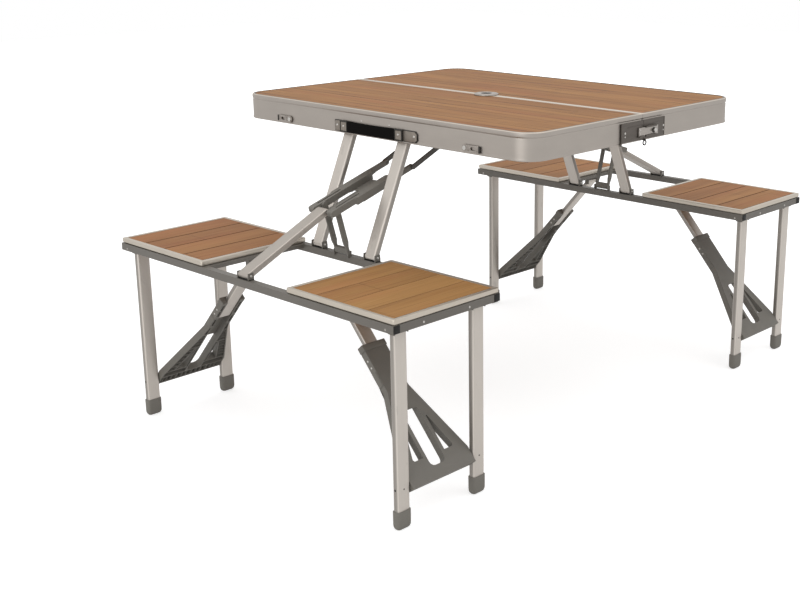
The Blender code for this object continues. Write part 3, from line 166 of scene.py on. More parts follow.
def placed(name, data):
    """An object of its data, linked into the scene."""
    made = bpy.data.objects.new(name, data)
    bpy.context.scene.collection.objects.link(made)
    return made


floor_finish = Finish("floor_pale", (0.62, 0.62, 0.62), 0.9, Emission_Strength=1.0)
floor_finish.mottle(floor_finish.noise(60.0), 0.85, 0.1)
seen = floor_finish.node("ShaderNodeLightPath", out="Is Camera Ray")
mirrored = floor_finish.node("ShaderNodeLightPath", out="Is Glossy Ray")
position = {0: floor_finish.place()}
away = floor_finish.node("ShaderNodeVectorMath", {"operation": "LENGTH"}, position, "Value")
floor_finish.vary("Emission Color", seen * (away * 0.09 + 0.60) + mirrored * 0.45)

FLOOR_REACH, FLOOR_LEVEL = 9.0, -0.0003
floor_mesh = bpy.data.meshes.new("floor")
floor_spots = ((-1, -1), (1, -1), (1, 1), (-1, 1))
floor_mesh.from_pydata(
    [(x * FLOOR_REACH, y * FLOOR_REACH, FLOOR_LEVEL) for x, y in floor_spots], [], [(0, 1, 2, 3)]
)
floor = placed("floor", floor_mesh)
floor.data.materials.append(floor_finish.material)

world = bpy.data.worlds.new("white_surround")
world.use_nodes = True
sky = world.node_tree
white, soft = sky.nodes["Background"], sky.nodes.new("ShaderNodeBackground")
white.inputs["Color"].default_value = soft.inputs["Color"].default_value = (1.0, 1.0, 1.0, 1.0)
soft.inputs["Strength"].default_value = 0.78
path = sky.nodes.new("ShaderNodeLightPath")
straight, direct = sky.nodes.new("ShaderNodeMath"), sky.nodes.new("ShaderNodeMath")
straight.operation = direct.operation = "MAXIMUM"
blend = sky.nodes.new("ShaderNodeMixShader")
for start, end in (
    (path.outputs["Is Camera Ray"], straight.inputs[0]),
    (path.outputs["Is Transmission Ray"], straight.inputs[1]),
    (straight.outputs[0], direct.inputs[0]),
    (path.outputs["Is Glossy Ray"], direct.inputs[1]),
    (direct.outputs[0], blend.inputs[0]),
    (soft.outputs[0], blend.inputs[1]),
    (white.outputs[0], blend.inputs[2]),
    (blend.outputs[0], sky.nodes["World Output"].inputs["Surface"]),
):
    sky.links.new(start, end)
bpy.context.scene.world = world


def lamp(name, place, target, size, power):
    """A square soft lamp that faces its target."""
    data = bpy.data.lights.new(name, "AREA")
    data.shape = "SQUARE"
    data.size = size
    data.energy = power
    made = placed(name, data)
    made.location = place
    made.rotation_euler = (Vector(target) - Vector(place)).to_track_quat("-Z", "Y").to_euler()


lamp("lamp_above", (-0.3, 0.2, 3.4), (0.0, 0.0, 0.5), 2.4, 15.0)
lamp("lamp_front", (0.9, -2.2, 3.2), (0.0, 0.0, 0.4), 1.8, 14.0)
lamp("lamp_side", (-3.1, -0.6, 1.2), (0.0, 0.0, 0.4), 1.8, 15.0)

PICTURE_WIDE, PICTURE_TALL, SENSOR = 800, 600, 36.0
focal_pixels, centre_across, centre_down = 1227.47, 498.52, 257.37
turn, tilt = math.radians(47.784), math.radians(15.174)
facing = Vector((math.sin(turn) * math.cos(tilt), math.cos(turn) * math.cos(tilt), -math.sin(tilt)))
lens = bpy.data.cameras.new("camera")
lens.sensor_width = SENSOR
lens.lens = SENSOR * focal_pixels / PICTURE_WIDE
lens.shift_x = (PICTURE_WIDE / 2 - centre_across) / PICTURE_WIDE
lens.shift_y = (centre_down - PICTURE_TALL / 2) / PICTURE_WIDE
camera = placed("camera", lens)
camera.location = (-1.9988, -1.8499, 1.0341)
camera.rotation_euler = facing.to_track_quat("-Z", "Y").to_euler()
bpy.context.scene.camera = camera
bpy.context.scene.view_settings.view_transform = "Standard"


# The two rims of the case: an aluminium extrusion with a rounded bead along the top, a groove
# under it and a lip at the bottom, bent round two corners and mitred at the seam. The hinges, the
# lugs for the arms and support legs, and the pins and rivets are fixed to it.

SIDES = {"a": -1.0, "b": 1.0}
ENDS = {"front": -1.0, "back": 1.0}
CASE_WIDE, CASE_LONG, CORNER_RADIUS = 0.342, 0.425, 0.046
SEAM_GAP, BEAD_CREST, RIM_CREASE = 0.0003, 0.6690, 28.0
HINGE_Y, HINGE_Z = 0.300, 0.616
CATCH_Y, CATCH_Z = 0.262, 0.627
SUPPORT_Y, SUPPORT_TOP_X, SUPPORT_TOP_Z = 0.0805, 0.31236, 0.651
# Low and high corners of the lugs: two for a support leg's pin, and two for an arm.
LUGS = (
    ((0.3044, SUPPORT_Y - 0.0174, 0.6435), (0.3395, SUPPORT_Y - 0.0156, 0.6590)),
    ((0.3044, SUPPORT_Y + 0.0156, 0.6435), (0.3395, SUPPORT_Y + 0.0174, 0.6590)),
    ((0.0020, 0.0462, 0.6440), (0.0610, 0.0498, 0.6540)),
    ((0.0490, 0.0463, 0.6390), (0.0610, 0.0497, 0.6530)),
)


def skin(points, loop=False):
    """A closed shape from rings of points: quads join each ring to the next, and the last ring
    joins the first, or the first and last are closed by flat caps."""
    rows, columns = points.shape[:2]
    ring = np.arange(rows if loop else rows - 1)[:, None]
    spot = np.arange(columns)[None, :]
    after, beside = (ring + 1) % rows, (spot + 1) % columns
    pairs = ((ring, spot), (ring, beside), (after, beside), (after, spot))
    corners = [row * columns + column for row, column in pairs]
    quads = np.stack(np.broadcast_arrays(*corners), -1).reshape(-1, 4)
    caps = [] if loop else [np.arange(columns), (rows - 1) * columns + np.arange(columns)]
    return points.reshape(-1, 3), quads, caps


def smoothed(mesh, crease):
    """Outward faces, smooth but for edges sharper than the crease, in degrees."""
    work = bmesh.new()
    work.from_mesh(mesh)
    bmesh.ops.remove_doubles(work, verts=work.verts, dist=1e-7)
    bmesh.ops.recalc_face_normals(work, faces=work.faces)
    work.to_mesh(mesh)
    work.free()
    mesh.shade_smooth()
    mesh.set_sharp_from_angle(angle=math.radians(crease))


def formed(name, shapes, crease):
    """One mesh from closed shapes. Where every shape has a fourth item, it is kept as the points'
    attribute mark, by which a finish tells where to paint highlight and shade on the metal."""
    counts = np.cumsum([0] + [len(shape[0]) for shape in shapes])
    faces = []
    for start, (_, quads, caps, *_) in zip(counts, shapes):
        faces += (quads + start).tolist() + [(cap + start).tolist() for cap in caps]
    mesh = bpy.data.meshes.new(name)
    mesh.from_pydata(np.concatenate([shape[0] for shape in shapes]).tolist(), [], faces)
    if all(len(shape) > 3 for shape in shapes):
        light_marks = np.concatenate([shape[3] for shape in shapes])
        mesh.attributes.new("mark", "FLOAT", "POINT").data.foreach_set("value", light_marks)
    smoothed(mesh, crease)
    return mesh


def piece(name, shapes, body, finish, stands_for=(), crease=35.0):
    """One object from closed shapes, riding on a body and standing for CAD nodes."""
    made = placed(name, formed(name, shapes, crease))
    made.data.materials.append(finish.material)
    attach(made, body)
    if stands_for:
        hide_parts(*stands_for)
    return made


def outline(low, high, radii, steps):
    """A rectangle's outline with its own radius at each corner: points, and the way each one moves
    for a unit of inset, which is along the mitre at a sharp corner and inward at a round one."""
    signs = np.array(((-1, -1), (1, -1), (1, 1), (-1, 1)))
    points, ways = [], []
    for sign, radius, start in zip(signs, radii, (180, 270, 0, 90)):
        corner = np.where(sign < 0, low, high)
        if radius <= 0:
            points.append([corner])
            ways.append([-sign])
            continue
        angle = np.radians(np.linspace(start, start + 90, steps + 1))
        out = np.stack((np.cos(angle), np.sin(angle)), -1)
        points.append(corner - sign * radius + radius * out)
        ways.append(-out)
    return np.concatenate(points), np.concatenate(ways)


def lifted(plan, heights):
    """Rings of points in plan, each ring at its own height."""
    rise = np.broadcast_to(np.array(heights)[:, None, None], (*plan.shape[:2], 1))
    return np.concatenate((plan, rise), -1)


def carried(low, high, radii, section, light_marks, steps):
    """A closed section of (inset, height) points carried round an outline: point(i, j) = outline(i)
    + inset(j) * way(i), at height(j), with the section point's light mark for painted highlight and
      shade."""
    points, ways = outline(np.array(low), np.array(high), radii, steps)
    inset, height = section.T
    plan = points[None] + inset[:, None, None] * ways[None]
    return (*skin(lifted(plan, height), loop=True), np.repeat(light_marks, len(points)))


def block(low, high, edge=0.0005):
    """A box with rounded edges: its rounded outline is carried upward, and drawn in at both ends
    by inset = edge (1 - sin t) while the height goes edge (1 - cos t)."""
    low, high = np.minimum(low, high), np.maximum(low, high)
    edge = min(edge, 0.45 * (high - low).min())
    t = np.linspace(0, np.pi / 2, 3)
    inset, rise = edge * (1 - np.sin(t)), edge * (1 - np.cos(t))
    points, ways = outline(low[:2], high[:2], (edge,) * 4, 2)
    insets = np.concatenate((inset, inset[::-1]))
    heights = np.concatenate((low[2] + rise, high[2] - rise[::-1]))
    return skin(lifted(points[None] + insets[:, None, None] * ways[None], heights))


def turned(centre, axis, section, steps=24, loop=False):
    """A section of (radius, height) turned round an axis:
    centre + height * axis + radius * (cos t * one way + sin t * the other)."""
    axis = np.array(axis, float)
    one = np.cross(axis, np.roll(axis, 1))
    one /= np.linalg.norm(one)
    other = np.cross(axis, one)
    radius, height = np.array(section).T
    t = np.linspace(0, 2 * np.pi, steps, endpoint=False)
    spoke = np.cos(t)[:, None] * one + np.sin(t)[:, None] * other
    points = np.array(centre) + height[:, None, None] * axis + radius[:, None, None] * spoke[None]
    return skin(points, loop)


def rod(start, end, radius, steps=16):
    """A pin from start to end with a small chamfer at both ends."""
    start, end = np.array(start, float), np.array(end, float)
    length = np.linalg.norm(end - start)
    small = min(0.0003, radius * 0.3)
    neck = radius - small
    section = ((neck, 0), (radius, small), (radius, length - small), (neck, length))
    return turned(start, (end - start) / length, section, steps)


def rivet(centre, axis, radius, height=0.0010):
    """A domed rivet head: radius cos t, height sin t."""
    t = np.radians(np.linspace(0, 82, 5))
    section = np.stack((radius * np.cos(t), height * np.sin(t)), -1)
    return turned(centre, axis, np.concatenate(([(radius, -0.0004)], section)), 12)


def arc(across, up, radius, start, stop, steps=4):
    """Points (across + radius cos t, up + radius sin t), for t from start to stop in degrees."""
    t = np.radians(np.linspace(start, stop, steps + 1))
    return np.stack((across + radius * np.cos(t), up + radius * np.sin(t)), -1)


def tinted(colour, share):
    """A colour times a share, and at most 1."""
    return tuple(min(1.0, share * c) for c in colour)


def extrusion(name, colour, roughness):
    """Satin aluminium: fine level lines from the die, and a faint cloud in tone and gloss. It has a
    painted highlight where the light mark is 1 and along the seam's bead, and painted shade where
    the light mark is -1."""
    metal = Finish(name, colour, roughness, 1.0)
    lines = metal.noise((6.0, 6.0, 1600.0), 3.0)
    cloud = metal.noise((14.0, 14.0, 30.0))
    tone = metal.between(cloud * 0.6 + lines * 0.4, tinted(colour, 0.86), tinted(colour, 1.12))
    mark = metal.node("ShaderNodeAttribute", {"attribute_name": "mark"}, out="Fac")
    x, z = metal.axes(0, 2)
    # A painted highlight along the seam's bead.
    seam_highlight = (x.worked("ABSOLUTE") < 0.0085) * (z > BEAD_CREST)
    # Painted shade where the light mark is -1, but not on the seam's bead.
    painted_shade = (mark * -1.0).clamped() * (1 - seam_highlight)
    # The painted highlight where the light mark is 1 or on the seam's bead.
    tone = metal.between((mark + seam_highlight).clamped() * 0.8, tone, shade(212, 202, 188))
    metal.vary("Base Color", metal.between(painted_shade, tone, tinted(colour, 0.22)))
    metal.vary("Roughness", roughness - 0.06 + lines * 0.08 + cloud * 0.05)
    metal.relief(lines, 0.00002)
    return metal


rim_finish = extrusion("satin_aluminium", shade(168, 161, 154), 0.46)
pin_finish = Finish("pin_steel", shade(190, 187, 182), 0.3, 1.0)
pin_finish.mottle(pin_finish.noise(900.0), 0.22, 0.15)

lip = arc(0.0010, 0.6170, 0.0010, 270, 180)
groove = [
    (0.0, 0.6186), (0.0002, 0.6196), (0.0007, 0.6206), (0.0008, 0.6215), (0.0008, 0.6560),
    (0.0010, 0.6574), (0.0015, 0.6584), (0.0016, 0.6592), (0.0012, 0.6600), (0.0004, 0.6609),
    (0.0, 0.6620),
]
bead = np.concatenate((arc(0.0026, 0.6674, 0.0026, 180, 90), arc(0.0066, 0.6686, 0.0014, 90, 0)))
ledge = [(0.0080, 0.6613), (0.0130, 0.6613), (0.0130, 0.6594), (0.0033, 0.6594), (0.0033, 0.6160)]
rim_section = np.concatenate((lip, groove, bead, ledge))
inset, height = rim_section.T
# Light marks: 1 paints a highlight on the bead's outer crest, -1 paints shade on its inner side.
rim_light_marks = ((height > BEAD_CREST) & (inset < 0.0025)).astype(float)
rim_light_marks -= (height > 0.6610) & (inset > 0.0060) & (inset < 0.0090)


def carve(made, shape, crease):
    """Cut a shape out of a piece and keep what is left as its mesh."""
    tool = placed("cutter", formed("cutter", [shape], crease))
    step = made.modifiers.new("cut", "BOOLEAN")
    step.operation = "DIFFERENCE"
    step.solver = "EXACT"
    step.object = tool
    bpy.context.view_layer.update()
    solved = made.evaluated_get(bpy.context.evaluated_depsgraph_get())
    mesh = bpy.data.meshes.new_from_object(solved)
    made.modifiers.clear()
    made.data = mesh
    bpy.data.objects.remove(tool)
    smoothed(made.data, crease)


for letter, side in SIDES.items():
    body = "table_half_" + letter
    low, high = sorted((side * SEAM_GAP, side * CASE_WIDE))
    radii = [CORNER_RADIUS if outer else 0.0 for outer in (side < 0, side > 0, side > 0, side < 0)]
    band = carried((low, -CASE_LONG), (high, CASE_LONG), radii, rim_section, rim_light_marks, 16)
    rim = piece(
        "rim_" + letter, [band], body, rim_finish,
        ("table_rim_" + letter,), RIM_CREASE,
    )
    carve(rim, rod((0, 0, 0.60), (0, 0, 0.69), 0.0149, 32), RIM_CREASE)
    fittings, pins = [], []
    for way in ENDS.values():
        mirror = np.array((side, way, 1.0))
        fittings += [block(mirror * low, mirror * high) for low, high in LUGS]
        pin = [mirror * (SUPPORT_TOP_X, SUPPORT_Y + y, SUPPORT_TOP_Z) for y in (-0.0178, 0.0178)]
        pins.append(rod(*pin, 0.0025))
        for first, last in ((-0.030, -0.010), (0.010, 0.030)) if side < 0 else ((-0.010, 0.010),):
            start, stop = HINGE_Y + first + 0.0003, HINGE_Y + last - 0.0003
            fittings.append(rod(mirror * (0, start, HINGE_Z), mirror * (0, stop, HINGE_Z), 0.0032))
            low, high = (0.0004, start, 0.6165), (0.0032, stop, 0.6224)
            fittings.append(block(mirror * low, mirror * high))
        if side < 0:
            pin = [mirror * (0, HINGE_Y + y, HINGE_Z) for y in (-0.0295, 0.0295)]
            pins.append(rod(*pin, 0.0012))
            foot, top = (mirror * (x, CATCH_Y, CATCH_Z) for x in (0.3440, 0.3462))
            pins.append(rod(foot, top, 0.0045, 20))
            pins.append(rivet(top, (-1, 0, 0), 0.0036, 0.0001))
        else:
            pins.append(rod(*(mirror * (x, CATCH_Y, CATCH_Z) for x in (0.3390, 0.3448)), 0.0025))
        for x in (0.060, 0.180, 0.290):
            pins.append(rivet(mirror * (x, 0.4219, 0.6250), (0, -way, 0), 0.0022, 0.0008))
    if side < 0:
        for y in (0.0326, -0.0505):
            pins.append(rivet((-0.3411, y, 0.6462), (-1, 0, 0), 0.0021, 0.0008))
    piece(f"rim_{letter}_fittings", fittings, body, rim_finish)
    piece(f"rim_{letter}_pins", pins, body, pin_finish)


# The two table boards: pressed bamboo strips about 32 mm wide that run along the seam, with dark
# joints that come and go, under a thin satin varnish. They lie on the ledges inside the rims.


def bamboo(name, light, dark, grain, start, strip, line, sway=0.0, solid=True):
    """Bamboo: strip number = floor((across - start) / strip + sway * sin(67 * across)), a tone for
    each number, fibres along the grain, nodes across it, and a dark joint where the share of the
    strip is within the line of its edge. Joints that aren't solid are broken by slow noise."""
    wood = Finish(name, light, 0.6, Specular_IOR_Level=0.22)
    across, along = wood.axes(0, 1) if grain == "Y" else wood.axes(1, 0)

    def streaked(wide, long, detail):
        """Noise with its waves a metre across the grain and along it."""
        return wood.noise((wide, long, wide) if grain == "Y" else (long, wide, wide), detail)

    count = (across - start) / strip
    if sway:
        count = count + (across * 67.0).worked("SINE") * sway
    index = (count + 0.0001).worked("FLOOR")
    share = count - index
    number = {"W": index + 3.7}
    tone = wood.node("ShaderNodeTexWhiteNoise", {"noise_dimensions": "1D"}, number, "Value")
    fibre = streaked(900.0, 9.0, 4.0)
    cloud = streaked(38.0, 4.5, 3.0)
    red = streaked(19.0, 3.1, 2.0)
    joint = share.worked("MINIMUM", 1 - share) < line
    if not solid:
        joint = joint * (streaked(26.0, 6.0, 2.0) * 4.0 - 1.5).clamped()
    ringed = along * 3.1 + tone * 5.0
    ring = ringed - ringed.worked("FLOOR")
    knot = (ring < 0.012) * (fibre > 0.42)
    streak = (streaked(300.0, 5.0, 3.0) * 7.0 - 4.0).clamped()
    ruddy = (light[0] * 0.86, light[1] * 0.68, light[2] * 0.74)
    colour = wood.between((tone * 0.40 + fibre * 0.90 + cloud * 0.90 - 0.60).clamped(), light, dark)
    colour = wood.between((red * 4.0 - 1.9).clamped() * 0.6, colour, ruddy)
    colour = wood.between(streak * 0.55, colour, tinted(dark, 0.55))
    colour = wood.between(joint * 0.85 + knot * 0.30, colour, tinted(dark, 0.25))
    wood.vary("Base Color", colour)
    wood.vary("Roughness", fibre * 0.16 + 0.52)
    wood.relief(fibre - joint * 2.0, 0.00006)
    return wood


top_wood = bamboo(
    "bamboo_top", shade(166, 118, 66), shade(131, 87, 46), "Y",
    start=0.006, strip=0.0325, line=0.055, sway=0.16, solid=False,
)
for letter in SIDES:
    for material_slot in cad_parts["table_board_" + letter].material_slots:
        material_slot.material = top_wood.material


# The umbrella ring: a turned aluminium ring whose flange lies over the seam, with a neck between
# the two rims' beads. Its bore is painted dark, as painted shade in the hole.

ring_section = (
    (0.0122, 0.6581), (0.0122, 0.6722), (0.0125, 0.6731), (0.0133, 0.6735), (0.0225, 0.6735),
    (0.0250, 0.6731), (0.0265, 0.6722), (0.0270, 0.6711), (0.0270, 0.6704), (0.0267, 0.6703),
    (0.0144, 0.6703), (0.0144, 0.6583), (0.0142, 0.6580),
)
ring_finish = extrusion("ring_aluminium", shade(168, 161, 153), 0.40)
across, along = ring_finish.axes(0, 1)
# Painted shade: the bore's wall is coloured dark.
bore_shade = (across * across + along * along) ** 0.5 < 0.01235
cast = ring_finish.between(ring_finish.noise(300.0), shade(154, 147, 140), shade(176, 169, 161))
ring_finish.vary("Base Color", ring_finish.between(bore_shade * 0.9, cast, shade(40, 38, 36)))
piece(
    "ring_umbrella", [turned((0, 0, 0), (0, 0, 1), ring_section, 72, loop=True)], "table_half_a",
    ring_finish, ("umbrella_ring",), 30.0,
)


# The carrying handle: a black moulded grip, thickest along its middle, between two riveted steel
# brackets whose pins it swings on. Each bracket has a tab with one more rivet, longer in front.

CASE_FACE = 0.3424
TAB_LOW, TAB_HIGH = 0.6192, 0.6428
TAB_ENDS = {"front": (0.1331, 0.0055), "back": (0.1131, 0.0015)}

grip_finish = Finish("grip_plastic", shade(5, 4, 3), 0.5, Specular_IOR_Level=0.05)
pores = grip_finish.noise(2600.0, 1.0)
grip_finish.mottle(pores, 0.42, 0.2)
grip_finish.relief(pores, 0.00004)


def grip(length, low, high, thin, thick, front):
    """A strap grip: along y its section is a flattened oval, whose top edge dips and whose face
    swells with sin of the share along; both ends stay square."""
    share = np.linspace(0, 1, 41)
    swell = np.sin(np.pi * share) ** 0.5
    t = np.linspace(0, 2 * np.pi, 32, endpoint=False)
    wide = np.sign(np.cos(t)) * np.abs(np.cos(t)) ** 0.35
    tall = np.sign(np.sin(t)) * np.abs(np.sin(t)) ** 0.55
    depth = (thin + (thick - thin) * swell)[:, None]
    top = (high - 0.0012 * np.sin(np.pi * share))[:, None]
    x = front + depth * 0.5 * (1 - wide[None])
    z = (top + low) / 2 + (top - low) / 2 * tall[None]
    y = np.broadcast_to(((share - 0.5) * length)[:, None], x.shape)
    return skin(np.stack((x, y, z), -1))


strap = grip(length=0.1408, low=0.6190, high=0.6430, thin=0.0040, thick=0.0050, front=-0.3473)
piece("grip", [strap], "handle", grip_finish, ("handle_grip",), 40.0)

bracket_finish = Finish("bracket_steel", shade(150, 141, 131), 0.42, 0.8)
scuff = bracket_finish.noise((300.0, 300.0, 60.0), 3.0)
bracket_finish.mottle(scuff, 0.30, 0.25, shade(116, 109, 101), shade(152, 144, 135))
# Dark steel for dark sheets, knobs, rivets and the ring, and also the painted shadow under the bolt
# knob.
dark_finish = Finish("shadow_steel", shade(50, 47, 43), 0.55, 0.3)
dark_finish.mottle(dark_finish.noise(500.0), 0.45, 0.2)


def pressed(loop, levels):
    """A pressed sheet on the side of the case: its outline in y and z at each level of (outward,
    inset), drawn towards its middle by the inset."""
    middle, half = (loop.max(0) + loop.min(0)) / 2, (loop.max(0) - loop.min(0)) / 2
    rings = []
    for out, inset in levels:
        ring = middle + (loop - middle) * (half - inset) / half
        rings.append(np.column_stack((np.full(len(ring), -CASE_FACE - out), ring)))
    return skin(np.array(rings))


for end, way in ENDS.items():
    last, cut = TAB_ENDS[end]
    tab = np.array((
        (0.0920, TAB_LOW), (last - cut, TAB_LOW), (last, TAB_LOW + cut),
        (last, TAB_HIGH - cut), (last - cut, TAB_HIGH), (0.0920, TAB_HIGH),
    )) * (way, 1.0)
    cheek = np.array(((0.0712, 0.6190), (0.0931, 0.6190), (0.0931, 0.6430), (0.0712, 0.6430)))
    cheek = cheek * (way, 1.0)
    folds = ((0.0, 0.0), (0.0048, 0.0), (0.0053, 0.0006), (0.0053, 0.0022), (0.0040, 0.0026))
    sheets = [pressed(tab, ((0.0, 0.0), (0.0009, 0.0), (0.0011, 0.0003))), pressed(cheek, folds)]
    node = "handle_bracket_" + end
    piece(f"bracket_{end}_frame", sheets, "table_half_a", dark_finish, (node,))
    panels = [
        pressed(tab, ((0.0009, 0.0015), (0.0016, 0.0015), (0.0018, 0.0019))),
        pressed(cheek, ((0.0038, 0.0030), (0.0045, 0.0030), (0.0048, 0.0034))),
    ]
    piece(f"bracket_{end}_panels", panels, "table_half_a", bracket_finish)
    heads = [
        rivet((-0.3471, way * 0.0822, 0.6318), (-1, 0, 0), 0.0027, 0.0012),
        rivet((-0.3441, way * (last - 0.0085), 0.6318), (-1, 0, 0), 0.0028, 0.0014),
        rod((-0.3448, way * 0.0655, 0.6405), (-0.3448, way * 0.0745, 0.6405), 0.0012),
    ]
    piece(f"bracket_{end}_rivets", heads, "table_half_a", pin_finish)


# The two catches on the handle's side: a flat steel hook that turns on a rivet, with a hole that
# drops over a peg on the other half, and a rolled end to pull it by.

catch_finish = Finish("catch_steel", shade(150, 144, 138), 0.34, 1.0)
worn = catch_finish.noise((240.0, 60.0, 240.0), 3.0)
catch_finish.mottle(worn, 0.26, 0.2, shade(128, 121, 115), shade(178, 171, 164))


def hook(way):
    """The hook's plate with its slot: rings round the outer edge and then round the slot's, each of
    two half circles joined by straight lines, and drawn in by an inset at its rise."""
    outer = np.concatenate((arc(0.0330, 0, 0.0070, -90, 90, 8), arc(0, 0, 0.0070, 90, 270, 8)))
    slot = np.concatenate((arc(0.0260, 0, 0.0029, -90, 90, 8), arc(0.0180, 0, 0.0029, 90, 270, 8)))
    rings = []
    for loop, inset, rise in (
        (outer, 0.0, 0.0), (outer, 0.0, 0.0021), (outer, 0.0004, 0.0024),
        (slot, -0.0003, 0.0024), (slot, 0.0, 0.0021), (slot, 0.0, 0.0),
    ):
        spread = loop - (loop[:, 0].mean(), 0.0)
        plan = loop - inset * spread / np.linalg.norm(spread, axis=1, keepdims=True)
        y, z = way * (CATCH_Y + plan[:, 0]), CATCH_Z + plan[:, 1]
        rings.append(np.stack((np.full(len(plan), -CASE_FACE - rise), y, z), -1))
    return skin(np.array(rings), loop=True)


knob_rise = (
    (0.0008, 0.0), (0.0019, 0.0006), (0.0022, 0.0026), (0.0022, 0.0104), (0.0019, 0.0124),
    (0.0008, 0.0130),
)
for end, way in ENDS.items():
    ribs = [
        block((-0.3444, way * (y - 0.0006), 0.6215), (-0.3453, way * (y + 0.0006), 0.6325), 0.0004)
        for y in (0.2705, 0.2735, 0.2945)
    ]
    plate = [hook(way), *ribs]
    piece("hook_" + end, plate, "catch_" + end, catch_finish, ("catch_" + end,), 32.0)
    knob = turned((-0.3442, way * 0.3002, 0.6205), (0, 0, 1), knob_rise, 20)
    piece("hook_knob_" + end, [knob], "catch_" + end, dark_finish)


# The lock across the seam on the front side: two dark pressed plates, a steel bolt that slides
# between folded guides, its knob, and a small ring that hangs from an eye under the plate.

PLATE_FACE = -0.4272
BOLT_KNOB_X, BOLT_KNOB_Z = 0.032, 0.6345
OUTWARD = (0, -1, 0)

plate_finish = Finish("plate_dark", shade(92, 86, 80), 0.42, 0.75)
brush = plate_finish.noise((30.0, 30.0, 700.0), 3.0)
plate_finish.mottle(brush, 0.32, 0.2, shade(78, 73, 68), shade(108, 101, 95))


def dressed(name, node, body, finish, edge):
    """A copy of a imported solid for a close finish: its loose triangles merged, flat regions made
    one face, and its edges rounded to the edge's width."""
    work = bmesh.new()
    work.from_mesh(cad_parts[node].data)
    bmesh.ops.remove_doubles(work, verts=work.verts, dist=0.00002)
    flat = math.radians(0.5)
    bmesh.ops.dissolve_limit(work, angle_limit=flat, verts=work.verts, edges=work.edges)
    mesh = bpy.data.meshes.new(name)
    work.to_mesh(mesh)
    work.free()
    smoothed(mesh, 35.0)
    mesh.materials.clear()
    mesh.materials.append(finish.material)
    made = placed(name, mesh)
    bevel = made.modifiers.new("edges", "BEVEL")
    bevel.width = edge
    bevel.segments = 2
    bevel.limit_method = "ANGLE"
    bevel.angle_limit = math.radians(40)
    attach(made, body)
    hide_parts(node)


for letter, side in SIDES.items():
    body = "table_half_" + letter
    dressed("plate_" + letter, "lock_plate_" + letter, body, plate_finish, 0.0003)
    x, z = (-0.060, 0.6372) if side < 0 else (0.0699, 0.6392)
    screws = [
        rivet((x, PLATE_FACE, z), OUTWARD, 0.0024, 0.0011),
        rivet((x, PLATE_FACE, 0.6300), OUTWARD, 0.0017, 0.0008),
    ]
    piece(f"plate_{letter}_screws", screws, body, pin_finish)
    ribs = [
        block((side * 0.0004, PLATE_FACE, 0.6470), (side * 0.0520, -0.4282, 0.6484), 0.0004),
        block((side * 0.0720, PLATE_FACE, 0.6190), (side * 0.0729, -0.4281, 0.6570), 0.0003),
    ]
    if side < 0:
        ribs.append(block((-0.0762, -0.4252, 0.6132), (-0.0728, -0.4296, 0.6194), 0.0008))
    piece(f"plate_{letter}_ribs", ribs, body, plate_finish)

bolt_finish = Finish("bolt_steel", shade(158, 152, 146), 0.32, 1.0)
drawn = bolt_finish.noise((40.0, 300.0, 900.0), 3.0)
bolt_finish.mottle(drawn, 0.25, 0.18, shade(138, 132, 126), shade(182, 176, 170))
bars = [
    block((-0.0180, -0.4276, 0.6255), (0.0470, -0.4306, 0.6435), 0.0007),
    block((-0.0176, -0.4300, 0.6300), (-0.0120, -0.4307, 0.6390), 0.0003),
]
piece("bolt", bars, "lock_bolt", bolt_finish, ("lock_bolt",))
knob_section = (
    (0.0030, -0.0010), (0.0030, 0.0022), (0.0040, 0.0028), (0.0040, 0.0052), (0.0036, 0.0058),
    (0.0026, 0.0060),
)
knob = turned((BOLT_KNOB_X, -0.4306, BOLT_KNOB_Z), OUTWARD, knob_section)
piece("bolt_knob", [knob], "lock_bolt", pin_finish)
# A thin dark disc under the knob, as its painted shadow.
knob_shadow_section = ((0.0058, 0.0), (0.0058, 0.0004), (0.0054, 0.0007))
knob_shadow = turned((BOLT_KNOB_X, -0.4304, BOLT_KNOB_Z), OUTWARD, knob_shadow_section)
piece("bolt_washer", [knob_shadow], "lock_bolt", dark_finish)
heads = [rivet((-0.0140, -0.4306, z), OUTWARD, 0.0014, 0.0008) for z in (0.6305, 0.6385)]
piece("bolt_rivets", heads, "lock_bolt", pin_finish)

low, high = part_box("lock_ring")
ring_middle = [(a + b) / 2 for a, b in zip(low, high)]
ring_axis = (0, 1, 0) if high[1] - low[1] < high[0] - low[0] else (1, 0, 0)
wire = arc(0.0050, 0, 0.0013, 0, 360, 14)[:-1]
piece(
    "hanging_ring", [turned(ring_middle, ring_axis, wire, 36, loop=True)],
    "lock_ring", dark_finish, ("lock_ring",), 60.0,
)


# The seat units' frames: square steel tube in a dark coat, two long rails and two end bars, with a
# thin cross bar under the inner edge of each seat, riveted lugs, and black plugs in the tube ends.
# The coat's nodes draw the rivets on the outer rails, as flat marks.

RAIL_RIVET_Y, RAIL_RIVET_Z, RAIL_FACE = 0.3969, 0.3785, 0.6795

frame_finish = Finish("frame_coat", shade(104, 100, 93), 0.45, 0.2)
coat = frame_finish.noise(700.0)
drift = frame_finish.noise(9.0)
across, along, upward = (level.worked("ABSOLUTE") for level in frame_finish.axes(0, 1, 2))
away = ((along - RAIL_RIVET_Y) ** 2 + (upward - RAIL_RIVET_Z) ** 2) ** 0.5
flush = (away < 0.0021) * (across > RAIL_FACE)
coated = frame_finish.between(coat * 0.5 + drift * 0.5, shade(92, 88, 82), shade(120, 115, 108))
frame_finish.vary("Base Color", frame_finish.between(flush, coated, shade(168, 163, 156)))
frame_finish.mottle(coat, 0.38, 0.15)
frame_finish.relief(coat, 0.00002)
plug_finish = Finish("plug_plastic", shade(22, 21, 19), 0.55, Specular_IOR_Level=0.3)
plug_finish.mottle(plug_finish.noise(900.0), 0.45, 0.2)

